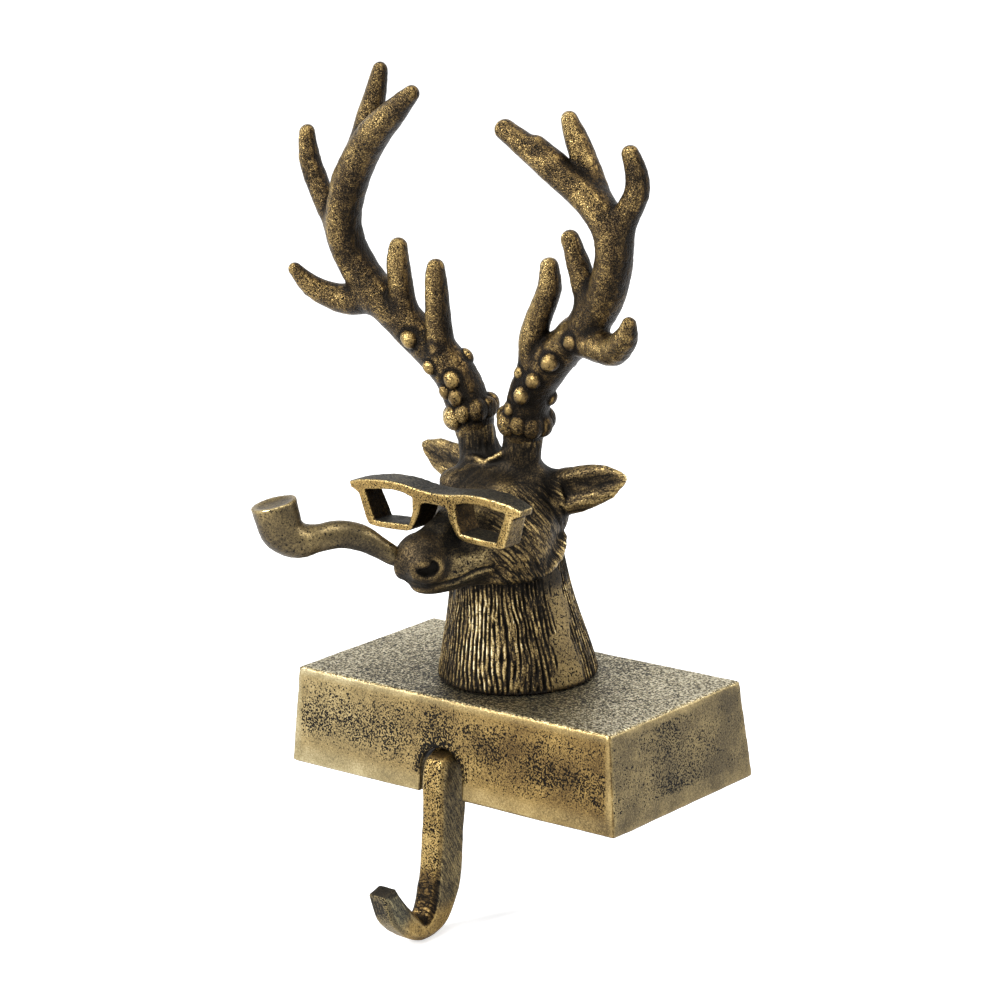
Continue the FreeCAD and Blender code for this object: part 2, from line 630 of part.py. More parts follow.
def main():
    os.makedirs("parts", exist_ok=True)
    on_base = Vector(0, 0, TOP)
    nodes = {
        "base_casting": base_casting(),
        "stocking_hook": stocking_hook(),
        "bust_screw": bust_screw(),
        "bust_washer": bust_washer(),
    }
    bust = {
        "deer_head": deer_head(),
        "spectacles": spectacles(),
        "antler_right": antler(RIGHT_ANTLER, RIGHT_PEARLS, -1),
        "antler_left": antler(LEFT_ANTLER, LEFT_PEARLS, 1),
        "pipe": pipe(),
    }
    for name, shape in bust.items():
        shape.translate(on_base)
        nodes[name] = shape
    for name, place in zip(("right", "left"), hook_screw_places()):
        nodes["hook_screw_" + name] = hook_screw(*place)
    for name, place in zip(("front_right", "front_left", "back_right", "back_left"), post_places()):
        nodes["pad_" + name] = pad(*place)
    for name, shape in nodes.items():
        if not shape.isValid() or len(shape.Solids) != 1:
            print("fault in", name, shape.isValid(), len(shape.Solids))
        shape.exportStep("parts/%s.step" % name)
        box = shape.BoundBox
        print("%-18s %9.0f mm3  x %.1f %.1f  y %.1f %.1f  z %.1f %.1f" % (
            name, shape.Volume, box.XMin, box.XMax, box.YMin, box.YMax, box.ZMin, box.ZMax))


main()
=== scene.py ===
"""Antique-brass stocking holder, modelled as volumes of distances and meshed over the CAD frame.

Shapes are written in millimetres in the CAD's frame. The bust's tables have their origin at the
foot of the neck, which stands on the base's top.
"""
import itertools
import math

import bpy
import numpy as np
import openvdb
from mathutils import Matrix, Vector


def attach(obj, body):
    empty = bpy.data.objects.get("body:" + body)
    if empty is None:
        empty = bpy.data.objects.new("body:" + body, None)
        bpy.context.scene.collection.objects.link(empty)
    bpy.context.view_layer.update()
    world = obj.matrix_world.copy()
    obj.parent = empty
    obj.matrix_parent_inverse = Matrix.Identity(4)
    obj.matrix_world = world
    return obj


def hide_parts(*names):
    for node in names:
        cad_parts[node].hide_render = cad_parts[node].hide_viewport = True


MM = 0.001
# Distances are kept up to this far from a surface
FAR = 4.0
# Heights of the base's rim and of its top above the mantel
RIM = 0.5
TOP = 28.1
ON_BASE = (0.0, 0.0, TOP)
ROD_EDGE = 0.3
STROKE_WIDTH = 0.32
# Noise: seeded numbers, what picks one for a cell, and how far apart two seeds lie
HASH = np.random.RandomState(11).rand(4096)
HASH_PRIMES = (73856093, 19349663, 83492791)
SEED_SHIFT = 31.7


# Volumes


class Volume:
    """Distances to a surface on a regular grid."""

    def __init__(self, low, high, step):
        self.step = step
        self.low = np.array(low, np.float32)
        counts = np.ceil((np.array(high) - self.low) / step).astype(int) + 1
        self.axes = [self.low[i] + step * np.arange(counts[i], dtype=np.float32) for i in range(3)]
        self.distance = np.full(counts, FAR, np.float32)

    def part(self, low, high):
        """Slices and open coordinates of the grid near a box."""
        cuts = [
            slice(*np.searchsorted(axis, (a - FAR, b + FAR))) for axis, a, b in zip(self.axes, low, high)
        ]
        return tuple(cuts), np.ix_(*[axis[cut] for axis, cut in zip(self.axes, cuts)])

    def add(self, shape, blend=0.0):
        low, high, measure = shape
        cuts, grids = self.part(low, high)
        self.distance[cuts] = union(self.distance[cuts], measure(*grids), blend)

    def cut(self, shape, blend=0.0):
        low, high, measure = shape
        cuts, grids = self.part(low, high)
        self.distance[cuts] = -union(-self.distance[cuts], measure(*grids), blend)

    def skin(self):
        """Points and quads of the surface."""
        grid = openvdb.FloatGrid(FAR)
        grid.copyFromArray(np.clip(self.distance, -FAR, FAR))
        points, quads = grid.convertToQuads(0.0)
        return points * self.step + self.low, quads.astype(np.int64)


def union(a, b, blend):
    """The nearer of two distances, rounded where they meet."""
    if blend <= 0:
        return np.minimum(a, b)
    share = np.clip(0.5 + 0.5 * (b - a) / blend, 0, 1)
    return b + (a - b) * share - blend * share * (1 - share)


def smooth(rows, steps):
    """Rows of numbers with more rows worked in between, on a smooth curve through them all."""
    rows = np.array(rows, float)
    fine = []
    last = len(rows) - 1
    for i in range(last):
        a, b, c, d = rows[max(i - 1, 0)], rows[i], rows[i + 1], rows[min(i + 2, last)]
        for t in np.arange(steps) / steps:
            fine.append(0.5 * (2 * b + (c - a) * t + (2 * a - 5 * b + 4 * c - d) * t * t
                               + (3 * b - a - 3 * c + d) * t ** 3))
    fine.append(rows[-1])
    return np.array(fine)


def ball(centre, radii, turn=None):
    """Ellipsoid; turn is a matrix whose rows are its own axes."""
    reach = max(radii)
    low = [c - reach for c in centre]
    high = [c + reach for c in centre]

    def measure(x, y, z):
        p = [x - centre[0], y - centre[1], z - centre[2]]
        if turn is not None:
            p = [sum(row[i] * p[i] for i in range(3)) for row in turn]
        near = np.sqrt(sum((c / r) ** 2 for c, r in zip(p, radii))) + 1e-6
        slope = np.sqrt(sum((c / r ** 2) ** 2 for c, r in zip(p, radii))) + 1e-6
        return near * (near - 1) / slope

    return low, high, measure


def limb(rows, steps=3):
    """Tapering round bar along a smooth curve through rows of x, y, z and radius."""
    rows = smooth(rows, steps)
    spread = rows[:, 3:].max()
    low, high = rows[:, :3].min(0) - spread, rows[:, :3].max(0) + spread

    def measure(x, y, z):
        grids = (x, y, z)
        d = np.full((x.size, y.size, z.size), FAR, np.float32)
        for a, b in zip(rows[:-1], rows[1:]):
            wide = max(a[3], b[3]) + FAR
            cuts, local = [], []
            for i, grid in enumerate(grids):
                line = grid.ravel()
                cut = slice(*np.searchsorted(line, (min(a[i], b[i]) - wide, max(a[i], b[i]) + wide)))
                cuts.append(cut)
                local.append(line[cut])
            local = np.ix_(*local)
            along = b[:3] - a[:3]
            share = sum((g - o) * v for g, o, v in zip(local, a, along)) / max(along.dot(along), 1e-9)
            share = np.clip(share, 0, 1)
            gap = sum((g - o - v * share) ** 2 for g, o, v in zip(local, a, along))
            cuts = tuple(cuts)
            d[cuts] = np.minimum(d[cuts], np.sqrt(gap) - (a[3] + (b[3] - a[3]) * share))
        return d

    return low, high, measure


def rounded(a, b, edge):
    """Distance to where two shapes overlap, with rounded edges; a and b are the distances to each."""
    a, b = a + edge, b + edge
    return np.minimum(np.maximum(a, b), 0) + np.hypot(np.maximum(a, 0), np.maximum(b, 0)) - edge


def polygon_distance(points, u, v):
    """Signed distance in a plane to a closed polygon, negative inside."""
    best = None
    inside = np.zeros(np.broadcast(u, v).shape, bool)
    for (au, av), (bu, bv) in zip(points, np.roll(points, -1, 0)):
        eu, ev = bu - au, bv - av
        share = np.clip(((u - au) * eu + (v - av) * ev) / max(eu * eu + ev * ev, 1e-12), 0, 1)
        gap = (u - au - eu * share) ** 2 + (v - av - ev * share) ** 2
        best = gap if best is None else np.minimum(best, gap)
        if bv != av:
            inside ^= ((av > v) != (bv > v)) & (u < eu * (v - av) / (bv - av) + au)
    return np.where(inside, -1, 1) * np.sqrt(best)


def plate(outline, holes, axis, low, high, edge, chamfer=False):
    """Flat piece with an outline and holes, square to an axis, its edges rounded or chamfered."""
    outline = np.array(outline, float)
    others = [i for i in range(3) if i != axis]
    corner_low, corner_high = np.zeros(3), np.zeros(3)
    corner_low[others], corner_high[others] = outline.min(0), outline.max(0)
    corner_low[axis], corner_high[axis] = low, high

    def measure(*grids):
        u, v = (grids[i] for i in others)
        flat = polygon_distance(outline, u, v)
        for hole in holes:
            flat = np.maximum(flat, -polygon_distance(np.array(hole, float), u, v))
        thick = np.abs(grids[axis] - (low + high) / 2) - (high - low) / 2
        if chamfer:
            return np.maximum(np.maximum(flat, thick), (flat + thick + edge) * math.sqrt(0.5))
        return rounded(flat, thick, edge)

    return corner_low, corner_high, measure


def rod(centre, radius, low, high):
    """Upright cylinder between two heights."""
    x0, y0 = centre

    def measure(x, y, z):
        across = np.hypot(x - x0, y - y0) - radius
        along = np.abs(z - (low + high) / 2) - (high - low) / 2
        return rounded(across, along, ROD_EDGE)

    return (x0 - radius, y0 - radius, low), (x0 + radius, y0 + radius, high), measure


# Surfaces


def noise(points, scale, seed=0):
    """Smooth noise from -1 to 1 at points, with its own scale along each axis."""
    place = points / np.array(scale, float) + SEED_SHIFT * seed
    cell = np.floor(place).astype(np.int64)
    share = place - cell
    share = share * share * (3 - 2 * share)
    total = np.zeros(len(points))
    for corner in itertools.product((0, 1), repeat=3):
        mixed = (cell + corner) * HASH_PRIMES
        slot = (mixed[:, 0] ^ mixed[:, 1] ^ mixed[:, 2]) & (len(HASH) - 1)
        total += HASH[slot] * np.prod(np.where(corner, share, 1 - share), axis=1)
    return 2 * total - 1


def ramp(values, low, high):
    """Smooth step from 0 at low to 1 at high."""
    t = np.clip((values - low) / (high - low), 0, 1)
    return t * t * (3 - 2 * t)


def normals_of(points, quads):
    a, b, c, d = (points[quads[:, i]] for i in range(4))
    normal = np.cross(c - a, d - b)
    total = np.stack([
        sum(np.bincount(quads[:, i], normal[:, k], len(points)) for i in range(4)) for k in range(3)
    ], axis=1)
    return total / (np.linalg.norm(total, axis=1, keepdims=True) + 1e-12)


def soften(values, quads, rounds):
    """Values at the points, averaged with their neighbours that many times."""
    count = sum(np.bincount(quads[:, i], minlength=len(values)) for i in range(4))
    for _ in range(rounds):
        middle = values[quads].mean(axis=1)
        values = np.stack([
            sum(np.bincount(quads[:, i], middle[:, k], len(values)) for i in range(4)) / count
            for k in range(values.shape[1])
        ], axis=1)
    return values


def relief(points, quads, rounds):
    """How far each point stands out from its softened surroundings."""
    return ((points - soften(points, quads, rounds)) * normals_of(points, quads)).sum(axis=1)


def strokes(across, along, pitch, length, seed):
    """Fine engraved strokes, 1 in a stroke and 0 between them."""
    flat = np.stack([across / pitch, along / length, np.full(len(across), 0.5)], axis=1)
    return np.clip(1 - np.abs(noise(flat, (1, 1, 1), seed)) / STROKE_WIDTH, 0, 1)


def make_object(name, points, quads, material, slot, nodes, wear_and_painted_light, flow=None, **layers):
    """Object in place of the CAD's nodes.

    Each layer, read by the material, is a number at every point, or one number for them all.
    """
    mesh = bpy.data.meshes.new(name)
    mesh.vertices.add(len(points))
    mesh.vertices.foreach_set("co", (points * MM).astype(np.float32).ravel())
    mesh.loops.add(quads.size)
    mesh.loops.foreach_set("vertex_index", quads.ravel().astype(np.int32))
    mesh.polygons.add(len(quads))
    mesh.polygons.foreach_set("loop_start", np.arange(0, quads.size, 4, dtype=np.int32))
    mesh.update(calc_edges=True)
    mesh.validate()
    mesh.shade_smooth()
    for label, values in dict(layers, wear_and_painted_light=wear_and_painted_light).items():
        layer = mesh.attributes.new(label, "FLOAT", "POINT")
        values = np.full(len(points), np.clip(values, -1, 2))
        layer.data.foreach_set("value", values.astype(np.float32))
    if flow is not None:
        layer = mesh.attributes.new("flow", "FLOAT_VECTOR", "POINT")
        layer.data.foreach_set("vector", np.stack(flow, axis=1).astype(np.float32).ravel())
    mesh.materials.append(material)
    piece = bpy.data.objects.new(name, mesh)
    bpy.context.collection.objects.link(piece)
    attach(piece, "root")
    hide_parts(*nodes)


# Materials


def link_value(tree, socket, value):
    """Joins a node's output to a socket, or sets a plain number on it."""
    if isinstance(value, bpy.types.NodeSocket):
        tree.links.new(value, socket)
    else:
        socket.default_value = value


def math_node(tree, operation, a, b=0.0):
    node = tree.nodes.new("ShaderNodeMath")
    node.operation = operation
    link_value(tree, node.inputs[0], a)
    link_value(tree, node.inputs[1], b)
    return node.outputs[0]


def noise_node(tree, scale, detail=2.0, rough=0.5, stretch=(1, 1, 1), warp=0.0):
    """Noise over the surface; scale is the number of its waves in a metre."""
    place = tree.nodes.new("ShaderNodeTexCoord").outputs["Object"]
    shift = tree.nodes.new("ShaderNodeMapping")
    shift.inputs["Scale"].default_value = stretch
    tree.links.new(place, shift.inputs["Vector"])
    node = tree.nodes.new("ShaderNodeTexNoise")
    node.inputs["Scale"].default_value = scale
    node.inputs["Detail"].default_value = detail
    node.inputs["Roughness"].default_value = rough
    node.inputs["Distortion"].default_value = warp
    tree.links.new(shift.outputs[0], node.inputs["Vector"])
    return node.outputs["Fac"]


def range_node(tree, value, low, high, to_low=0.0, to_high=1.0):
    node = tree.nodes.new("ShaderNodeMapRange")
    link_value(tree, node.inputs["Value"], value)
    for name, number in zip(("From Min", "From Max", "To Min", "To Max"), (low, high, to_low, to_high)):
        node.inputs[name].default_value = number
    return node.outputs["Result"]


def ramp_node(tree, value, stops):
    node = tree.nodes.new("ShaderNodeValToRGB")
    elements = node.color_ramp.elements
    while len(elements) < len(stops):
        elements.new(0.5)
    for element, (place, colour) in zip(elements, stops):
        element.position = place
        element.color = (*colour, 1)
    tree.links.new(value, node.inputs[0])
    return node.outputs["Color"]


def new_material(name):
    material = bpy.data.materials.new(name)
    material.use_nodes = True
    tree = material.node_tree
    return material, tree, tree.nodes["Principled BSDF"]


# Colours from dark to bright
BRASS = (
    (0.0, (0.010, 0.008, 0.006)), (0.25, (0.040, 0.026, 0.012)), (0.45, (0.120, 0.076, 0.029)),
    (0.65, (0.30, 0.20, 0.068)), (0.85, (0.53, 0.385, 0.155)), (1.0, (0.80, 0.67, 0.40)),
)
OLIVE = (
    (0.0, (0.014, 0.015, 0.015)), (0.25, (0.050, 0.048, 0.040)), (0.45, (0.13, 0.115, 0.070)),
    (0.65, (0.29, 0.245, 0.135)), (0.85, (0.47, 0.41, 0.26)), (1.0, (0.74, 0.68, 0.50)),
)


def layer_node(tree, name):
    node = tree.nodes.new("ShaderNodeAttribute")
    node.attribute_name = name
    return node


def brass(name, sand_scale=1500.0, pit_scale=1600.0, bump=0.5, rough=(0.58, 0.30)):
    """Cast metal with an aged brass finish, dark where it lies low and rubbed bright where it stands out.

    Layers: one gives how bright it is, from rubbing and patina and also from painted light and shade; sand
    how grainy, pits how many pits there are, strokes how deep the strokes along the flow are, and olive how
    far the colour turns from gold to olive grey.
    """
    material, tree, shader = new_material(name)

    def layer(label):
        return layer_node(tree, label).outputs["Fac"]

    def times(a, b):
        return math_node(tree, "MULTIPLY", a, b)

    def plus(a, b):
        return math_node(tree, "ADD", a, b)

    patches = range_node(tree, noise_node(tree, 80.0, 3.0, 0.6), 0.3, 0.7, -0.10, 0.10)
    grain = range_node(tree, noise_node(tree, sand_scale, 1.0, 0.6, warp=0.4), 0.34, 0.66, -0.5, 0.5)
    fine = range_node(tree, noise_node(tree, 3200.0, 0.0), 0.3, 0.7, -0.06, 0.06)
    spots = plus(noise_node(tree, pit_scale, 1.5, 0.5, warp=0.5), times(layer("pits"), 0.22))
    pit = range_node(tree, spots, 0.63, 0.67)
    marks = tree.nodes.new("ShaderNodeTexNoise")
    marks.inputs["Scale"].default_value = 1.0
    marks.inputs["Detail"].default_value = 1.0
    tree.links.new(layer_node(tree, "flow").outputs["Vector"], marks.inputs["Vector"])
    away = math_node(tree, "ABSOLUTE", plus(marks.outputs["Fac"], -0.5))
    stroke = times(range_node(tree, away, 0.015, 0.075, 1.0, 0.0), layer("strokes"))
    lift = range_node(tree, marks.outputs["Fac"], 0.52, 0.68)
    # This brightness carries rubbing and patina and also the pieces' painted light and shade.
    worn_and_painted_light = plus(layer("wear_and_painted_light"), plus(patches, fine))
    worn_and_painted_light = plus(worn_and_painted_light, times(layer("sand"), grain))
    worn_and_painted_light = plus(worn_and_painted_light, times(times(layer("strokes"), lift), 0.25))
    worn_and_painted_light = plus(worn_and_painted_light, times(stroke, -0.7))
    worn_and_painted_light = plus(worn_and_painted_light, times(pit, -0.9))
    mix = tree.nodes.new("ShaderNodeMix")
    mix.data_type = "RGBA"
    tree.links.new(layer("olive"), mix.inputs["Factor"])
    tree.links.new(ramp_node(tree, worn_and_painted_light, BRASS), mix.inputs["A"])
    tree.links.new(ramp_node(tree, worn_and_painted_light, OLIVE), mix.inputs["B"])
    tree.links.new(mix.outputs["Result"], shader.inputs["Base Color"])
    shader.inputs["Metallic"].default_value = 1.0
    tree.links.new(range_node(tree, worn_and_painted_light, 0.15, 0.9, *rough), shader.inputs["Roughness"])
    height = plus(times(grain, layer("sand")), times(plus(stroke, pit), -1.0))
    relief_node = tree.nodes.new("ShaderNodeBump")
    relief_node.inputs["Strength"].default_value = bump
    relief_node.inputs["Distance"].default_value = 0.0003
    tree.links.new(plus(height, times(fine, 2.0)), relief_node.inputs["Height"])
    tree.links.new(relief_node.outputs[0], shader.inputs["Normal"])
    return material


def plain_metal(name, colour, roughness):
    """Plated steel with fine turning marks."""
    material, tree, shader = new_material(name)
    marks = noise_node(tree, 1500.0, 3.0, 0.6, (1, 1, 0.2))
    darker = tuple(0.75 * c for c in colour)
    tree.links.new(ramp_node(tree, marks, ((0.3, darker), (0.7, colour))), shader.inputs["Base Color"])
    shader.inputs["Metallic"].default_value = 1.0
    uneven = range_node(tree, marks, 0.3, 0.7, roughness - 0.06, roughness + 0.1)
    tree.links.new(uneven, shader.inputs["Roughness"])
    return material


def rubber(name):
    material, tree, shader = new_material(name)
    dust = noise_node(tree, 900.0, 3.0, 0.6)
    stops = ((0.3, (0.02, 0.02, 0.02)), (0.75, (0.05, 0.05, 0.048)))
    tree.links.new(ramp_node(tree, dust, stops), shader.inputs["Base Color"])
    shader.inputs["Roughness"].default_value = 0.75
    return material


# Bust tables, from the foot of the neck; a limb's rows are x outwards, y, height and radius


# Height, radius, and y of the middle
NECK = (
    (0.0, 22.2, 0.7), (2.0, 22.0, 0.7), (9.3, 20.4, 0.2), (20.8, 17.5, -0.9), (33.0, 15.6, -1.8),
    (46.0, 14.2, -2.0),
)
# How far forward, top, underside, and half the width
SKULL = (
    (-15.5, 56.0, 45.0, 5.0), (-12.5, 56.0, 39.0, 10.6), (-6.0, 60.0, 34.5, 14.6),
    (5.0, 63.8, 31.6, 16.0), (14.0, 59.5, 30.8, 14.2), (24.0, 52.6, 30.8, 10.6),
    (33.0, 49.4, 31.2, 8.0), (39.5, 47.6, 34.0, 6.8), (42.5, 45.4, 36.0, 4.4),
)
NOSE = (0.0, -38.0, 41.7)
NOSE_RADIUS = 6.9
PEDICLE = ((6.3, -2.0, 56.5, 7.2), (7.0, -3.6, 62.5, 5.6), (9.0, -4.0, 71.5, 5.5))
EAR_ROOT = (12.5, 4.0, 52.0)
EAR_TIP = (36.4, 5.4, 59.6)
# Share of the way to the tip, half the height, half the depth
EAR_SECTIONS = (
    (-0.15, 6.3, 4.8), (0.0, 6.6, 4.8), (0.25, 6.5, 3.6), (0.5, 5.9, 2.7), (0.75, 4.6, 2.0),
    (0.92, 2.2, 1.2), (1.0, 0.5, 0.4),
)
JAW = (
    (5.0, -22.0, 33.4, 1.2), (9.5, -17.0, 32.9, 1.8), (13.3, -11.8, 32.8, 2.0), (15.2, -5.5, 33.4, 2.0),
    (15.4, 0.5, 35.6, 1.7), (13.6, 6.0, 39.5, 1.0),
)
# Line of the mouth from the middle back, without a radius
LIP = (
    (0, -43.5, 35.8), (3.6, -42.3, 35.4), (5.4, -39.8, 35.0), (6.6, -35.5, 34.8), (7.7, -31, 35.6),
    (9.2, -26.5, 36.8), (10.8, -21, 36.8),
)
# Line of the ridge between the pedicles, not mirrored
CREST = ((-6.5, -9.2, 62.2), (-3.2, -9.8, 62.6), (-0.6, -9.8, 62.0), (2.2, -9.6, 63.4), (5.4, -8.6, 65.2))
CREST_RADIUS = 0.9
NOSTRIL_TURN = math.radians(33)
NOSTRIL_FALL = math.radians(-4)
PIPE_STEM = (
    (-3.2, -37.5, 40.2, 2.4), (-5.0, -42.8, 42.8, 2.6), (-7.2, -46.8, 46.1, 3.0),
    (-9.9, -51.1, 49.2, 3.6), (-13.0, -55.6, 50.5, 3.7), (-16.2, -60.2, 50.1, 3.8),
    (-19.0, -64.8, 50.2, 4.8), (-21.3, -67.9, 53.0, 5.7), (-22.0, -68.9, 57.0, 6.0),
    (-22.6, -69.5, 60.9, 6.15),
)
# Beam first, then the tines
RIGHT_ANTLER = (
    (
        (12, -5, 81.3, 5.6), (16.5, -6, 87.3, 5.3), (24, -6.4, 92.8, 5.0), (38, -8, 104, 4.9),
        (44.5, -9, 112, 4.9), (47, -11, 120.3, 4.8), (45.6, -12, 128.8, 4.7), (40.7, -12, 139.8, 4.5),
        (32.7, -13, 149.6, 4.2), (23.2, -14, 157.4, 3.3), (17.2, -14.7, 161.8, 2.4),
    ),
    ((14, -6, 85.8, 3.6), (16, -8, 93.3, 3.4), (16, -9, 107.3, 2.9), (16, -9, 113.8, 2.2)),
    ((25, -6, 93.3, 3.2), (28.3, -8, 100.3, 3.2), (29.4, -9, 113, 2.9), (29.2, -9, 118.4, 2.2)),
    (
        (38, -8, 104, 4.2), (44, -9, 102.5, 4.1), (50.5, -11, 102.5, 3.9), (57, -14, 105.5, 3.3),
        (60.9, -16.6, 110.4, 2.1),
    ),
    (
        (46.5, -11, 119.8, 3.6), (52, -10, 124.8, 3.5), (57.5, -9, 132.8, 3.4),
        (60.3, -9.2, 140.3, 3.2), (60.3, -9.8, 147.6, 2.4),
    ),
    (
        (45, -11, 135.8, 3.5), (41.5, -9, 144.3, 3.4), (38.5, -8, 153.3, 3.3), (35.5, -8, 161.3, 3.0),
        (34, -8, 166.3, 2.3),
    ),
)
LEFT_ANTLER = (
    (
        (13, -5, 82.8, 5.6), (19.5, -6, 90.3, 5.3), (26.5, -6.4, 96.8, 5.0), (34, -7, 102.8, 4.9),
        (40.5, -8, 110.3, 4.9), (44.5, -9, 118.3, 4.8), (46.5, -10, 125.8, 4.7), (45, -11, 132.0, 4.4),
        (39.6, -12, 138, 4.0), (30.6, -13, 144.2, 3.6), (14.9, -14.7, 154.5, 2.6),
    ),
    (
        (14.5, -6, 88.3, 3.6), (16.2, -8, 96.8, 3.4), (19.4, -9, 103.8, 3.2), (23.4, -9, 112, 2.9),
        (23.6, -9, 118, 2.2),
    ),
    ((34.5, -7, 102.8, 3.4), (35.5, -8, 109.8, 3.2), (34.6, -9, 116.5, 3.0), (31, -9, 126, 2.2)),
    (
        (30, -6, 99.6, 4.2), (38.5, -9, 98.8, 4.1), (47, -12, 98.8, 3.8), (53.2, -15, 103, 3.3),
        (55.6, -16.6, 107.3, 2.2),
    ),
    (
        (46.5, -10, 125.8, 3.6), (50, -10, 132.8, 3.5), (54, -10, 139.8, 3.4), (54.2, -10, 145.3, 3.1),
        (53.2, -11, 150.4, 2.4),
    ),
    (
        (46, -10, 128.8, 3.6), (41.2, -9, 136.3, 3.3), (37.2, -8, 143.8, 3.1), (33.7, -8, 151.3, 2.9),
        (31, -8, 157.5, 2.2),
    ),
    ((29.0, -13, 146.5, 3.0), (24.6, -13.4, 150.9, 1.9)),
)
# Share of the beam's length, degrees from the front, size
RIGHT_PEARLS = (
    (0.07, -15, 1.8), (0.09, 15, 1.5), (0.11, -25, 1.9), (0.19, 15, 1.6), (0.212, -50, 1.9),
    (0.28, -5, 2.0), (0.10, 120, 1.6), (0.15, -120, 1.7), (0.20, 160, 1.5),
)
LEFT_PEARLS = (
    (0.053, -18, 1.5), (0.098, 12, 2.0), (0.136, -35, 1.6), (0.16, 17, 1.8), (0.235, 20, 2.1),
    (0.333, 20, 1.8), (0.10, 110, 1.6), (0.16, -110, 1.7), (0.22, 150, 1.5),
)


BURR_BUMPS = 9
BURR_RADIUS = 5.3
# Mean radius that the neck is unrolled at, and the pitch of its strands
NECK_RADIUS = 19
STRAND_PITCH = 1.38


def mirrored(rows, side):
    return [(side * row[0], *row[1:]) for row in rows]


def unit(vector):
    vector = np.array(vector, float)
    return vector / np.linalg.norm(vector)


def turned(vector, axis, degrees):
    return np.array(Matrix.Rotation(math.radians(degrees), 3, Vector(axis)) @ Vector(vector))


def antler(name, table, pearls, side, material):
    """Beam and tines, with a ring of bumps round the foot and pearls up the beam."""
    rows = [mirrored(limb_rows, side) for limb_rows in table]
    beam = mirrored(PEDICLE[-1:], side) + rows[0]
    everything = np.array([row for group in [beam] + rows[1:] for row in group])
    low, high = everything[:, :3].min(0) - 10, everything[:, :3].max(0) + 6
    volume = Volume(low, high, step=0.42)
    volume.add(limb(beam))
    for group in rows[1:]:
        volume.add(limb(group), 2.4)
    seat = np.array(beam[0][:3])
    axis = unit((side * 0.25, -0.05, 1.0))
    across = unit(np.cross((0, 1, 0), axis))
    for i in range(BURR_BUMPS):
        out = turned(across, axis, 360 / BURR_BUMPS * i + 11)
        size = 2.5 + 0.35 * math.sin(2.4 * i)
        place = seat + axis * (2.7 + 0.5 * math.sin(1.9 * i)) + out * BURR_RADIUS
        volume.add(ball(place, (size, size, size * 1.15)), 0.5)
    line = smooth(beam, 12)
    knobs = []
    for share, angle, size in pearls:
        k = round(share * (len(line) - 1))
        along = unit(line[k + 1][:3] - line[k - 1][:3])
        front = unit(np.array((0, -1, 0)) - along * -along[1])
        out = turned(front, along, side * angle)
        axes = (along, np.cross(along, out), out)
        centre = line[k][:3] + out * line[k][3]
        volume.add(ball(centre, (1.3 * size, size, 0.85 * size), axes), 0.4)
        knobs.append((centre, 1.15 * size))
    points, quads = volume.skin()
    near = np.full(len(points), 9.0)
    for centre, size in knobs:
        near = np.minimum(near, np.linalg.norm(points - centre, axis=1) / size)
    normals = normals_of(points, quads)
    flat = ramp(np.abs(normals[:, 1]), 0.30, 0.72)
    rough = 0.10 * noise(points, (2.2, 2.2, 2.2)) + 0.07 * flat * noise(points, (0.9, 0.9, 0.9), 1)
    fuller = ramp(np.abs(points[:, 0]), 55, 46) * ramp(points[:, 2], 162, 152)
    points = points + normals * (rough - 0.2 + 0.55 * fuller)[:, None]
    stand = np.clip(relief(points, quads, 30), -0.4, 0.30)
    # Dark in hollows as patina and bright where it stands out as rubbing; the term in flat * (1 - flat) is
    # a painted highlight, a band where the front turns to the side.
    wear_and_painted_light = 0.05 + 1.2 * relief(points, quads, 4) + 1.0 * stand + 0.60 * flat * (1 - flat)
    wear_and_painted_light = wear_and_painted_light + 0.12 * noise(points, (9, 9, 9), 3) + 0.14 * noise(points, (1.8, 1.8, 6), 4)
    # Painted light and shade: lighter where the surface faces left, front and up, darker where it faces
    # right, back and down.
    shaded = ramp(normals.dot((0.80, 0.50, -0.30)), 0.1, 0.8)
    wear_and_painted_light = wear_and_painted_light + 0.10 * normals.dot((-0.75, -0.2, 0.5)) - 0.16 * shaded
    # Painted highlight: a bright streaky band where the surface faces front-left and a little up, with less
    # grain under it.
    sheen = ramp(normals.dot((-0.60, -0.75, 0.28)), 0.84, 0.97)
    wear_and_painted_light = wear_and_painted_light + 0.26 * sheen * (0.7 + 0.6 * noise(points, (5, 5, 7), 6))
    on_knob = ramp(near, 1.15, 0.85)
    wear_and_painted_light = wear_and_painted_light + 0.06 * on_knob - 0.36 * ramp(near, 1.75, 1.25) * (1 - on_knob)
    flow = points / (1.3, 1.3, 5.0)
    make_object(name, points + ON_BASE, quads, material, "antique_brass_antler", [name], wear_and_painted_light, flow.T,
                sand=(0.10 + 0.36 * flat) * (1 - on_knob) * (1 - 0.6 * sheen),
                strokes=0.32 * (1 - flat), olive=0.10 * flat)


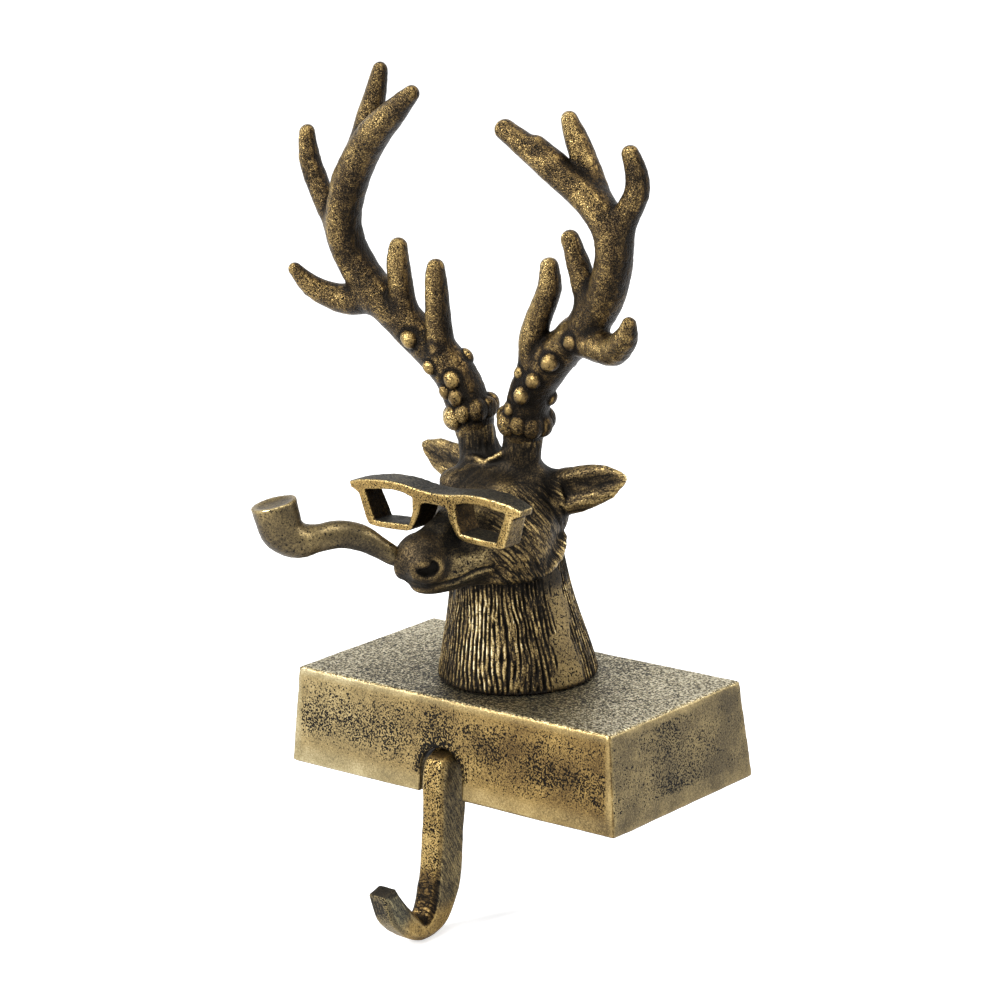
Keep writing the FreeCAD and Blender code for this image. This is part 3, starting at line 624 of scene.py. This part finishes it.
def neck(material):
    """Neck with strands of fur, and a smooth ragged band down each side."""
    volume = Volume((-24, -24, -1.5), (24, 24, 44), step=0.31)
    heights, radii, leans = np.array(smooth(NECK, 6)).T

    def measure(x, y, z):
        side = np.hypot(x, y - np.interp(z, heights, leans)) - np.interp(z, heights, radii)
        return -union(-side, z, 0.6)

    volume.add(((-22, -22, 0), (22, 22, 40), measure))
    points, quads = volume.skin()
    x, y, z = points.T
    angle = np.arctan2(x, -(y - np.interp(z, heights, leans)))
    around = NECK_RADIUS * angle
    flat = np.stack([around, z, np.zeros(len(z))], axis=1)
    wander = 0.8 * noise(flat, (7, 9, 1)) + 0.3 * noise(flat, (2.2, 4, 1), 2)
    phase = (around + wander) / STRAND_PITCH
    groove = (1 - np.abs(np.sin(math.pi * phase))) ** 1.1
    strand = np.stack([np.floor(phase + 0.5) * 3.3, z / 3.6, np.zeros(len(z))], axis=1)
    groove = groove * np.clip(0.80 + 0.95 * noise(strand, (1, 1, 1), 3), 0.05, 1.3)
    edge = np.abs(np.abs(angle) - math.radians(88)) * NECK_RADIUS
    edge = edge + 5.5 * noise(flat, (3.4, 9, 1), 4) + 3.0 * noise(flat, (1.2, 4, 1), 5)
    ground = 1 - ramp(edge, 3.6, 4.4)
    fur = 1 - ground
    tufts = 0.35 * noise(flat, (4.5, 11, 1), 6)
    # The flat foot and the end inside the skull stay plain
    wall = np.abs(z - 22) < 21.9
    depth = (0.72 * groove * fur - tufts * fur) * ramp(z, 0.0, 1.2) * wall
    normals = normals_of(points, quads)
    points = points - normals * (depth + 0.25 * (1 - ramp(z, 0.2, 1.4)))[:, None]
    ridge = ramp(groove, 0.35, 0.05)
    wear_and_painted_light = 0.20 + 1.3 * relief(points, quads, 5) - 0.45 * groove * fur + 0.29 * ground + 0.26 * ridge * fur
    wear_and_painted_light = wear_and_painted_light + 0.20 * noise(flat, (1.6, 5, 1), 8) * fur + 0.12 * noise(flat, (12, 9, 1), 9) * fur
    # Painted highlight: the raised strands are lighter in a band down the front of the neck.
    front_highlight = ramp(np.abs(np.degrees(angle) - 8), 26, 6) * ramp(z, 2, 8) * ramp(z, 32, 20)
    wear_and_painted_light = wear_and_painted_light + 0.34 * front_highlight * ridge
    # Darker at the foot, and darker near the top as painted shadow under the cheeks.
    wear_and_painted_light = wear_and_painted_light - 0.30 * (1 - ramp(z, 0.3, 1.8)) - 0.36 * ramp(z, 25, 30)
    flow = (around / 0.95, z / 5.0, np.zeros(len(z)))
    make_object("neck", points + ON_BASE, quads, material, "antique_brass_bust", ["deer_head"], wear_and_painted_light, flow,
                strokes=0.55 * fur, sand=0.30 * fur + 0.06, pits=0.25 * ground,
                olive=0.35 * ground + 0.25 * fur)


def skull_shape():
    forward, high, low, half = np.array(smooth(SKULL, 8)).T
    order = np.argsort(forward)
    forward, high, low, half = forward[order], high[order], low[order], half[order]

    def measure(x, y, z):
        f = -y
        tall = np.interp(f, forward, (high - low) / 2)
        middle = np.interp(f, forward, (high + low) / 2)
        wide = np.interp(f, forward, half)
        power = 2.25
        ring = (np.abs(x / wide) ** power + np.abs((z - middle) / tall) ** power) ** (1 / power)
        side = (ring - 1) * np.minimum(wide, tall)
        ends = np.maximum(f - forward[-1], forward[0] - f)
        return -union(-side, -ends, 4.0)

    return (-16, -forward[-1], 30), (16, -forward[0], 64), measure


def ear_shape(side, hollow):
    """Ear, or the hollow that is cut into its front."""
    root = np.array((side * EAR_ROOT[0], *EAR_ROOT[1:]))
    tip = np.array((side * EAR_TIP[0], *EAR_TIP[1:]))
    length = np.linalg.norm(tip - root)
    along = (tip - root) / length
    up = unit(np.cross(along, (0, 1, 0))) * (-side)
    thick = np.cross(up, along) * side
    thick = thick if thick[1] > 0 else -thick
    shares, halves, depths = np.array(EAR_SECTIONS).T

    def measure(x, y, z):
        p = (x - root[0], y - root[1], z - root[2])
        t = sum(c * a for c, a in zip(p, along)) / length
        a = sum(c * v for c, v in zip(p, up))
        b = sum(c * v for c, v in zip(p, thick))
        half = np.interp(t, shares, halves)
        depth = np.interp(t, shares, depths)
        if hollow:
            half = 0.60 * half
            b = b + depth * 1.10
            depth = 0.62 * depth
        ring = np.sqrt((a / half) ** 2 + (b / depth) ** 2) - 1
        ends = np.maximum((t - 1) * length, ((0.2 if hollow else -0.15) - t) * length)
        return np.maximum(ring * np.minimum(half, depth), ends)

    low = np.minimum(root, tip) - 7
    high = np.maximum(root, tip) + 7
    return low, high, measure


def cheek_shape(side):
    """Cheek with an edge that overhangs the neck."""
    low, high, bulk = ball((side * 9.3, -8, 42), (8.4, 12.5, 13.5))

    def measure(x, y, z):
        under = 31.9 + 0.22 * np.maximum(y + 8, 0) - z
        return -union(-bulk(x, y, z), -under, 0.7)

    return low, high, measure


def head(material):
    volume = Volume((-38.5, -47, 27), (38.5, 18, 76), step=0.40)
    volume.add(skull_shape())
    for side in (-1, 1):
        volume.add(cheek_shape(side), 1.2)
        volume.cut(ball((side * 9.6, -28.6, 47.6), (4.6, 7.4, 5.4)), 3.0)
        volume.add(ball((side * 8.6, -12.6, 56.6 - 1.2 * (side > 0)), (4.4, 4.4, 3.4)), 3.4)
        volume.add(limb(mirrored(JAW, side)), 2.2)
        volume.add(limb(mirrored(PEDICLE, side) + [(side * 9.6, -4.1, 73.5, 5.0)]), 3.0)
        volume.add(ear_shape(side, False), 2.2)
        volume.cut(ear_shape(side, True), 1.0)
    volume.add(ball(NOSE, [NOSE_RADIUS] * 3), 1.2)
    volume.add(ball((0, -33.3, 34.0), (5.2, 7.2, 2.7)), 1.0)
    for side in (-1, 1):
        lip = [(0.97 * side * x, y + 0.3, z, 1.4 - 0.15 * i) for i, (x, y, z) in enumerate(LIP)]
        volume.cut(limb(lip), 0.4)
        out = unit((side * math.cos(NOSTRIL_TURN), -math.sin(NOSTRIL_TURN), math.sin(NOSTRIL_FALL)))
        flat = unit(np.cross(out, (0, 0, 1)))
        up = np.cross(flat, out)
        axes = (flat, up, out)
        centre = np.array(NOSE) + out * (NOSE_RADIUS + 0.2)
        volume.add(ball(centre - up * 1.0 - out * 1.4, (4.1, 3.4, 1.2), axes), 2.2)
        volume.cut(ball(centre - up * 0.6 - flat * side * 0.2 - out * 0.3, (3.0, 2.3, 1.8), axes), 0.8)
        volume.add(ball(centre + up * 0.9 + flat * side * 1.2 - out * 1.1, (2.3, 1.6, 2.0), axes), 0.7)
    volume.add(limb([(*place, CREST_RADIUS) for place in CREST]), 1.2)
    points, quads = volume.skin()
    normals = normals_of(points, quads)
    x, y, z = points.T
    f = -y
    bulk = 0.16 * noise(points, (4, 4, 4), 1) + 0.07 * noise(points, (1.6, 1.6, 1.6), 2)
    cheek = ramp(np.abs(x), 7, 11) * ramp(f, 26, 18) * ramp(z, 60, 54)
    muzzle = ramp(f, 19, 25) * ramp(f, 38, 33)
    crown = ramp(z, 54, 58) * ramp(z, 69, 65)
    pedicle = ramp(z, 62, 66)
    ear = ramp(np.abs(x), 16, 20)
    cheek = cheek * (1 - ear)
    lean = 0.77 * f - 0.64 * z
    run = 0.64 * f + 0.77 * z
    wavy = lean + 0.3 * noise(points, (4, 4, 4), 5)
    marks = np.maximum.reduce([
        0.30 * cheek * strokes(wavy, run, 1.2, 8.0, 1),
        0.08 * crown * (1 - cheek) * strokes(x + 0.4 * f, z + 0.8 * f, 1.2, 5, 3),
        0.25 * pedicle * strokes(x + 1.2 * y, z, 1.4, 7, 4),
        0.14 * ear * strokes(z - 0.28 * np.abs(x), np.abs(x), 1.15, 9, 5),
    ])
    points = points + normals * (bulk - marks)[:, None]
    zones = (ear > 0.5, pedicle > 0.3, cheek > 0.4, crown > 0.5)
    across = np.select(zones, (z - 0.28 * np.abs(x), x + 1.2 * y, lean, x + 0.4 * f), z)
    along = np.select(zones, (np.abs(x), z, run, z + 0.8 * f), f)
    nose = ramp(np.linalg.norm(points - NOSE, axis=1), NOSE_RADIUS + 2.2, NOSE_RADIUS + 0.8)
    band = ramp(f, 19, 24) * ramp(z, 43, 40) * ramp(z, 34.5, 36.5) * (1 - nose)
    wear_and_painted_light = 0.25 + 1.0 * relief(points, quads, 5) + 0.42 * relief(points, quads, 40) - 0.40 * marks
    # On the muzzle, faces that look up are lighter, a painted highlight from above; the lip band is lighter
    # and the nose darker in their own tone.
    wear_and_painted_light = wear_and_painted_light + 0.10 * ramp(normals[:, 2], -0.2, 0.6) * muzzle + 0.16 * band - 0.19 * nose + 0.04 * cheek
    # Painted shade: darker on the muzzle behind the nose, under the spectacles, and on faces that look
    # down.
    muzzle_shadow = ramp(f, 26, 30) * ramp(f, 36, 33) * ramp(z, 42, 46)
    wear_and_painted_light = wear_and_painted_light - 0.24 * muzzle_shadow - 0.16 * ramp(-normals[:, 2], 0.2, 0.8)
    wear_and_painted_light = wear_and_painted_light - 0.10 * crown - 0.04 * pedicle + 0.14 * ear + 0.10 * noise(points, (5, 5, 5), 7)
    crest = ramp(np.abs(z - 0.45 * x - 63), 1.2, 0.4) * ramp(f, 9, 10.4) * (np.abs(x) < 6)
    wear_and_painted_light = wear_and_painted_light + 0.30 * crest
    fur = np.clip(cheek + 0.12 * crown + 0.35 * ear + 0.25 * muzzle + 0.35 * pedicle, 0, 1)
    flow = (across, along / 6.0, np.zeros(len(x)))
    make_object("head", points + ON_BASE, quads, material, "antique_brass_bust", ["deer_head"], wear_and_painted_light, flow,
                strokes=0.60 * fur, sand=0.26, pits=0.25 * muzzle, olive=0.25 + 0.2 * muzzle)


# Right half from the front: x outwards and height
GLASSES_TOP = (
    (0.0, 58.3), (4.5, 58.6), (9.6, 59.3), (14.0, 59.7), (18.7, 59.5), (23.3, 59.1), (27.0, 58.5),
    (30.3, 57.6),
)
GLASSES_BOTTOM = (
    (0.0, 55.2), (4.2, 54.7), (5.2, 52.0), (6.9, 48.8), (8.8, 46.8), (12.3, 46.2), (19.3, 46.0),
    (23.2, 46.3), (24.2, 47.2), (25.7, 51.0), (27.0, 54.6), (29.8, 55.8),
)
GLASSES_WINDOW = (
    (7.6, 56.1), (10.5, 56.8), (14.5, 57.1), (18.0, 56.9), (24.6, 56.0), (23.5, 53.2), (21.4, 47.8),
    (15.7, 48.0), (9.2, 48.4), (7.9, 52.0),
)
GLASSES_FRONT = -32.0
GLASSES_REAR = -23.8


def spectacles(material):
    upper, lower = smooth(GLASSES_TOP, 2), smooth(GLASSES_BOTTOM, 2)
    right = list(upper) + list(lower[::-1])
    left = [(-u, v) for u, v in list(lower[1:]) + list(upper[::-1][:-1])]
    windows = [[(side * u, v) for u, v in GLASSES_WINDOW] for side in (-1, 1)]
    volume = Volume((-33, -34.5, 43), (33, -21.5, 63), step=0.34)
    volume.add(plate(right + left, windows, 1, GLASSES_FRONT, GLASSES_REAR, 0.55))

    def ends(x, y, z):
        """What lies behind the frame, which is thinner towards both ends."""
        return -(y - GLASSES_REAR + 0.3 * np.maximum(np.abs(x) - 20, 0)) * 0.96

    volume.cut(((-31, -27.5, 45), (31, -22, 61), ends), 0.5)
    points, quads = volume.skin()
    normals = normals_of(points, quads)
    rough = 0.10 * noise(points, (3, 3, 3)) + 0.05 * noise(points, (1.1, 1.1, 1.1), 1)
    points = points + normals * rough[:, None]
    front = ramp(-normals[:, 1], 0.3, 0.8)
    outer = ramp(normals[:, 0] * np.sign(points[:, 0]), 0.5, 0.9) * (np.abs(points[:, 0]) > 23)
    upward = ramp(normals[:, 2], 0.4, 0.9)
    # Faces that look up are a little lighter, a painted highlight, and are greyed towards olive.
    wear_and_painted_light = 0.15 + 0.44 * front + 0.8 * relief(points, quads, 6) + 0.26 * outer + 0.10 * upward
    make_object("spectacles", points + ON_BASE, quads, material, "antique_brass_spectacles", ["spectacles"],
                wear_and_painted_light, pits=0.1 + 0.2 * front + 0.35 * noise(points, (6, 3, 4), 3),
                olive=np.maximum(0.3 * outer, 0.8 * upward), sand=0.25 * (1 - front))


def pipe(material):
    volume = Volume((-31, -79, 36), (2, -33, 66), step=0.34)
    volume.add(limb(PIPE_STEM, 4))
    rim = np.array(PIPE_STEM[-1][:3])
    along = unit(rim - np.array(PIPE_STEM[-2][:3]))
    radius = PIPE_STEM[-1][3]

    def above(x, y, z):
        return -((x - rim[0]) * along[0] + (y - rim[1]) * along[1] + (z - rim[2]) * along[2])

    volume.cut((rim - 9, rim + 9, above), 0.3)
    across = unit(np.cross(along, (0, 1, 0)))
    axes = (across, np.cross(across, along), along)
    volume.cut(ball(rim + along * 0.6, (radius - 1.0, radius - 1.0, 1.5), axes), 0.3)
    points, quads = volume.skin()
    normals = normals_of(points, quads)
    rough = 0.08 * noise(points, (3, 3, 3)) + 0.03 * noise(points, (1, 1, 1), 1)
    points = points + normals * rough[:, None]
    wear_and_painted_light = 0.32 + 0.8 * relief(points, quads, 6) + 0.25 * relief(points, quads, 25)
    wear_and_painted_light = wear_and_painted_light + 0.12 * noise(points, (8, 8, 8), 2)
    # Painted light and shade: lighter where it faces up, darker where it faces down.
    wear_and_painted_light = wear_and_painted_light + 0.16 * ramp(normals[:, 2], -0.3, 0.8) - 0.10 * ramp(-normals[:, 2], 0.3, 0.9)
    wear_and_painted_light = wear_and_painted_light + 0.04 - 0.14 * ramp(-points[:, 1], 63, 57)
    make_object("pipe", points + ON_BASE, quads, material, "antique_brass_pipe", ["pipe"], wear_and_painted_light,
                sand=0.12, olive=0.45)


# Base and hook


# Half the width and half the depth of the base's top edge
BASE = (111.0 / 2, 57.8 / 2)
DRAFT = 2.2
WALL = 4.5
TOP_PLATE = 5.0
HOOK_X = -2.1
NOTCH_X = -2.7
NOTCH_WIDTH = 14.6
NOTCH_HEIGHT = 13.2
SCREW_PITCH = 18.0
SCREW_Y = -18.5
SCREWS = [(HOOK_X + side * SCREW_PITCH / 2, SCREW_Y) for side in (-1, 1)]
POSTS = list(itertools.product((-45.0, 45.0), (-18.4, 18.4)))
# What stands down from the top plate: places, radius, lowest height
STANDS = (([(0.0, 0.0)], 9.0, 20.1), (SCREWS, 4.75, 13.1), (POSTS, 6.0, 2.0))
STANDS_TOP = 25.0


def drafted(inset, low, high, blend, corner):
    """Box with drafted sides, its edges rounded over."""
    tilt = math.atan2(DRAFT, TOP - RIM)

    def measure(x, y, z):
        out = DRAFT * (TOP - z) / (TOP - RIM) - inset
        a = (np.abs(x) - BASE[0] - out) * math.cos(tilt)
        b = (np.abs(y) - BASE[1] - out) * math.cos(tilt)
        sides = -union(-a, -b, corner)
        return -union(-sides, -np.maximum(z - high, low - z), blend)

    reach = (BASE[0] + DRAFT, BASE[1] + DRAFT)
    return (-reach[0], -reach[1], low), (reach[0], reach[1], high), measure


def base(material):
    volume = Volume((-61, -34, -1), (61, 34, 31), step=0.62)
    volume.add(drafted(0, RIM - 0.3, TOP, 0.9, 0.8))
    volume.cut(drafted(WALL, RIM - 3, TOP - TOP_PLATE, 1.0, 1.0))
    for places, radius, low in STANDS:
        for place in places:
            volume.add(rod(place, radius, low, STANDS_TOP), 0.5)
    arch = NOTCH_WIDTH / 2
    spring = RIM + NOTCH_HEIGHT - arch
    outline = [
        (NOTCH_X + arch * math.cos(a), spring + arch * math.sin(a)) for a in np.linspace(0, math.pi, 17)
    ]
    outline += [(NOTCH_X - arch, RIM - 4), (NOTCH_X + arch, RIM - 4)]
    volume.cut(plate(outline, (), 1, -36, -21, 0.1), 0.9)
    points, quads = volume.skin()
    normals = normals_of(points, quads)
    x, y, z = points.T
    rough = 0.08 * noise(points, (11, 11, 11)) + 0.05 * noise(points, (3, 3, 3), 1)
    points = points + normals * (rough - 0.10)[:, None]
    top = ramp(normals[:, 2], 0.55, 0.9)
    end = ramp(np.abs(normals[:, 0]), 0.6, 0.9)
    long_side = ramp(np.abs(normals[:, 1]), 0.6, 0.9) * (1 - end)
    inside = ramp(-normals[:, 2], 0.3, 0.7) * (z > 2)
    edge = relief(points, quads, 5)
    blotch = noise(points, (9, 9, 5), 5) + 0.5 * noise(points, (4, 4, 3), 6)
    lines = z - 13 + 0.09 * np.abs(x - HOOK_X)
    pits = 0.05 + 0.66 * long_side * np.exp(-(lines - 6) ** 2 / 40)
    pits = pits + 0.50 * end * np.exp(-((y + 3) / 13) ** 2)
    pits = pits + 0.30 * blotch * (long_side + end)
    notch = np.hypot(x - NOTCH_X, z - spring)
    pits = pits + 1.2 * ramp(notch, arch + 3.5, arch) * long_side * (y < 0)
    clean = np.maximum(ramp(z, 25.0, 26.6), ramp(z, 7.0, 3.0)) * (1 - top)
    clean = np.maximum(clean, ramp(np.abs(x), BASE[0] - 1.8, BASE[0] - 0.4) * long_side)
    pits = np.clip(pits * (1 - clean) - 0.6 * clean, -1, 1.1)
    # Lighter and more olive towards the left end of the long sides, a painted highlight.
    left = ramp(x, 30, -50)
    wear_and_painted_light = (0.51 + 0.12 * left) * long_side + 0.47 * end + 0.51 * top
    wear_and_painted_light = wear_and_painted_light + 0.55 * np.maximum(edge, 0) + 0.03 * clean
    # Hollows darker as patina; faces that look down inside the hollow base darker still, as painted shade.
    wear_and_painted_light = wear_and_painted_light + 0.05 * blotch * (1 - top) + 0.4 * np.minimum(edge, 0) - 0.5 * inside
    # Painted shadow of the bust on the top: darker round the neck's foot, and lighter towards the back and
    # the ends.
    wear_and_painted_light = wear_and_painted_light + 0.12 * top * (ramp(y, 0, 20) + ramp(np.abs(x), 25, 50))
    wear_and_painted_light = wear_and_painted_light - 0.12 * top * ramp(np.hypot(x, y), 40, 24)
    olive = 0.9 * top + 0.55 * end + (0.30 * clean + 0.50 * left) * long_side
    make_object("base", points, quads, material, "antique_brass_base", ["base_casting"], wear_and_painted_light,
                pits=pits * (1 - top), sand=0.95 * top + 0.10, olive=np.clip(olive, 0, 1))


FRONT_RIM = BASE[1] + DRAFT
# Bar below its upper bend: forward of the base's front rim, below the rim, dip from level, depth
HOOK_STATIONS = (
    (-1.1, 2.2, 84, 11.6), (-0.1, 10.2, 83, 11.0), (1.0, 18.0, 80, 11.3), (2.7, 24.8, 64, 11.1),
    (6.6, 31.6, 38, 9.2), (12.1, 34.2, 2, 6.0), (17.2, 31.5, -42, 6.9), (22.1, 26.6, -57, 7.4),
    (25.6, 19.3, -72, 5.0),
)
BAR_WIDTH = 8.4
# Width, how far forward its front and its back lie, thickness
TANG = (29.0, 24.6, 12.4, 4.6)
# Scratches on the tip: place across the bar, half the length
SCRATCHES = ((-2.0, 3.2), (-1.0, 2.4), (0.1, 3.0), (1.0, 1.8))


def hook(material):
    width, front, back, thick = TANG
    top = RIM + NOTCH_HEIGHT - 0.6
    level = top - thick / 2
    rows = [
        (front - 3, level, 0, thick - 0.4), (front, level, 0, thick - 0.4),
        (FRONT_RIM - 4.2, level - 2.3, 28, 9.6), (FRONT_RIM - 2.6, level - 3.4, 60, 13.0),
    ]
    rows += [(FRONT_RIM + out, RIM - drop, dip, depth) for out, drop, dip, depth in HOOK_STATIONS]
    inner, outer = [], []
    for forward, height, dip, depth in smooth(rows, 6):
        dip = math.radians(dip)
        across = np.array((-math.sin(dip), math.cos(dip))) * depth / 2
        outer.append(np.array((-forward, height)) + across)
        inner.append(np.array((-forward, height)) - across)
    outline = outer + inner[::-1]
    volume = Volume((-19, -61, -38), (15, -10, 16), step=0.40)
    volume.add(plate(outline, (), 0, HOOK_X - BAR_WIDTH / 2, HOOK_X + BAR_WIDTH / 2, 1.5, True))
    left, right = HOOK_X - width / 2, HOOK_X + width / 2
    tang = [(left, -front), (right, -front), (right, -back), (left, -back)]
    volume.add(plate(tang, (), 2, top - thick, top, 0.6), 0.4)
    for place in SCREWS:
        volume.cut(rod(place, 2.2, top - thick - 2, top + 2))
    points, quads = volume.skin()
    points = soften(points, quads, 1)
    normals = normals_of(points, quads)
    rough = 0.14 * noise(points, (5, 5, 5)) + 0.06 * noise(points, (1.6, 1.6, 1.6), 1)
    points = points + normals * (rough - 0.14)[:, None]
    x, y, z = points.T
    side_face = ramp(np.abs(normals[:, 0]), 0.6, 0.9)
    front_face = ramp(-normals[:, 1], 0.45, 0.85) * (1 - side_face)
    throat = ramp(z, -17, -23) * ramp(-y, 47, 43) * ramp(normals[:, 2] - 0.6 * normals[:, 1], 0.2, 0.6)
    bend = ramp(z, -26, -31)
    edge = relief(points, quads, 6)
    wear_and_painted_light = 0.42 + 0.8 * edge + 0.24 * front_face + 0.16 * bend - 0.45 * throat
    tip = ramp(-y, 49, 54)
    upward = ramp(normals[:, 2], 0.3, 0.7)
    wear_and_painted_light = wear_and_painted_light - 0.20 * tip * (0.9 + 0.3 * upward) * (1 - 0.7 * side_face) + 0.04 * side_face
    for offset, length in SCRATCHES:
        scratch = ramp(np.abs(x - HOOK_X - offset), 0.42, 0.25)
        scratch = scratch * ramp(np.abs(z + 23.5), length, length - 0.5)
        wear_and_painted_light = wear_and_painted_light - 0.35 * scratch * tip * front_face
    flow = ((0.89 * y + 0.45 * z) / 0.7, (0.45 * y - 0.89 * z) / 6.0, x / 2.0)
    pits = 0.55 * front_face * (1 - throat) + 0.2 * noise(points, (4, 4, 4), 4)
    make_object("hook", points, quads, material, "antique_brass_hook", ["stocking_hook"], wear_and_painted_light, flow,
                strokes=0.26 * side_face * (1 - bend) + 0.6 * throat, sand=0.08 + 0.04 * side_face,
                pits=pits * (1 - bend), olive=0.55 * side_face * (1 - bend) + 0.6 * tip)


# Stage


FLOOR_REACH = 3.0
FLOOR_HEIGHT = -0.0372
LAMP_DISTANCE = 1.1
MIDDLE = (0, 0, 0.07)
CAMERA_PLACE = (0.6115, -0.7255, 0.32475)
CAMERA_AZIMUTH = 40.3
CAMERA_ELEVATION = 14.6
CAMERA_ROLL = math.radians(-2.0)
LENS = 129.25


def direction(azimuth, elevation):
    """Unit vector, in degrees round from the front and up."""
    azimuth, elevation = math.radians(azimuth), math.radians(elevation)
    level = math.cos(elevation)
    return Vector((math.sin(azimuth) * level, -math.cos(azimuth) * level, math.sin(elevation)))


def area_lamp(name, azimuth, elevation, size, energy):
    """Soft lamp that looks at the middle of the holder."""
    lamp = bpy.data.lights.new(name, "AREA")
    lamp.shape = "RECTANGLE"
    lamp.size, lamp.size_y = size
    lamp.energy = energy
    lamp_object = bpy.data.objects.new(name, lamp)
    bpy.context.collection.objects.link(lamp_object)
    out = direction(azimuth, elevation)
    lamp_object.location = Vector(MIDDLE) + out * LAMP_DISTANCE
    lamp_object.rotation_euler = out.to_track_quat("Z", "Y").to_euler()


def white_to_camera(tree, dim, bright):
    """A strength that is dim for light on the object, and bright where it is seen or mirrored."""
    path = tree.nodes.new("ShaderNodeLightPath")
    seen = math_node(tree, "MAXIMUM", path.outputs["Is Camera Ray"], path.outputs["Is Glossy Ray"])
    seen = math_node(tree, "MAXIMUM", seen, path.outputs["Is Transmission Ray"])
    return range_node(tree, seen, 0, 1, dim, bright)


def stage():
    world = bpy.data.worlds.new("studio")
    bpy.context.scene.world = world
    world.use_nodes = True
    tree = world.node_tree
    background = tree.nodes["Background"]
    background.inputs["Color"].default_value = (1, 1, 1, 1)
    tree.links.new(white_to_camera(tree, 0.6, 1.0), background.inputs["Strength"])

    mesh = bpy.data.meshes.new("floor")
    signs = ((-1, -1), (1, -1), (1, 1), (-1, 1))
    corners = [(x * FLOOR_REACH, y * FLOOR_REACH, FLOOR_HEIGHT) for x, y in signs]
    mesh.from_pydata(corners, [], [(0, 1, 2, 3)])
    floor = bpy.data.objects.new("floor", mesh)
    bpy.context.collection.objects.link(floor)
    material, tree, shader = new_material("floor")
    shader.inputs["Base Color"].default_value = (0.86, 0.86, 0.86, 1)
    shader.inputs["Roughness"].default_value = 0.9
    shader.inputs["Emission Color"].default_value = (1, 1, 1, 1)
    path = tree.nodes.new("ShaderNodeLightPath")
    glow = range_node(tree, path.outputs["Is Camera Ray"], 0, 1, 0, 0.6)
    tree.links.new(glow, shader.inputs["Emission Strength"])
    mesh.materials.append(material)

    area_lamp("key", -22, 34, (0.45, 0.6), 18)
    area_lamp("side", 128, 28, (0.35, 0.8), 6)
    area_lamp("over", 60, 72, (0.6, 0.6), 5)


def camera():
    back = direction(CAMERA_AZIMUTH, CAMERA_ELEVATION)
    right = direction(CAMERA_AZIMUTH + 90, 0)
    up = back.cross(right)
    turned_right = math.cos(CAMERA_ROLL) * right + math.sin(CAMERA_ROLL) * up
    turned_up = -math.sin(CAMERA_ROLL) * right + math.cos(CAMERA_ROLL) * up
    data = bpy.data.cameras.new("camera")
    data.sensor_width = 36
    data.lens = LENS
    view = bpy.data.objects.new("camera", data)
    bpy.context.collection.objects.link(view)
    facing = Matrix((turned_right, turned_up, back)).transposed().to_4x4()
    view.matrix_world = Matrix.Translation(CAMERA_PLACE) @ facing
    bpy.context.scene.camera = view


def finish_nodes():
    steel = plain_metal("zinc_plated_steel", (0.55, 0.55, 0.56), 0.32)
    pads = rubber("black_rubber")
    for name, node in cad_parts.items():
        if "screw" in name or "washer" in name:
            chosen = steel
        elif name.startswith("pad"):
            chosen = pads
        else:
            continue
        if not node.material_slots:
            node.data.materials.append(chosen)
        for held in node.material_slots:
            held.material = chosen


def main():
    stage()
    camera()
    finish_nodes()
    bust = brass("brass_bust", sand_scale=2400.0)
    antlers = brass("brass_antler", sand_scale=2800.0, bump=1.0, rough=(0.38, 0.22))
    antler("antler_right", RIGHT_ANTLER, RIGHT_PEARLS, -1, antlers)
    antler("antler_left", LEFT_ANTLER, LEFT_PEARLS, 1, antlers)
    neck(bust)
    head(bust)
    spectacles(brass("brass_spectacles", pit_scale=2600.0))
    pipe(brass("brass_pipe", bump=0.2, rough=(0.45, 0.24)))
    base(brass("brass_base", sand_scale=1700.0, pit_scale=2000.0))
    hook(brass("brass_hook", pit_scale=2400.0))
    bpy.context.scene.view_settings.view_transform = "Standard"


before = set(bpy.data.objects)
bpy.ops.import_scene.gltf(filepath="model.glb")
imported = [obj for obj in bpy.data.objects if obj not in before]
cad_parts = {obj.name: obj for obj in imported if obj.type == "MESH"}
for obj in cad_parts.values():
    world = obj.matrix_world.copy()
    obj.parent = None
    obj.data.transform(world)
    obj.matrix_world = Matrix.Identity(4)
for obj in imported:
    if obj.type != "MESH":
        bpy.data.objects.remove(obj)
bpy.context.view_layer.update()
main()
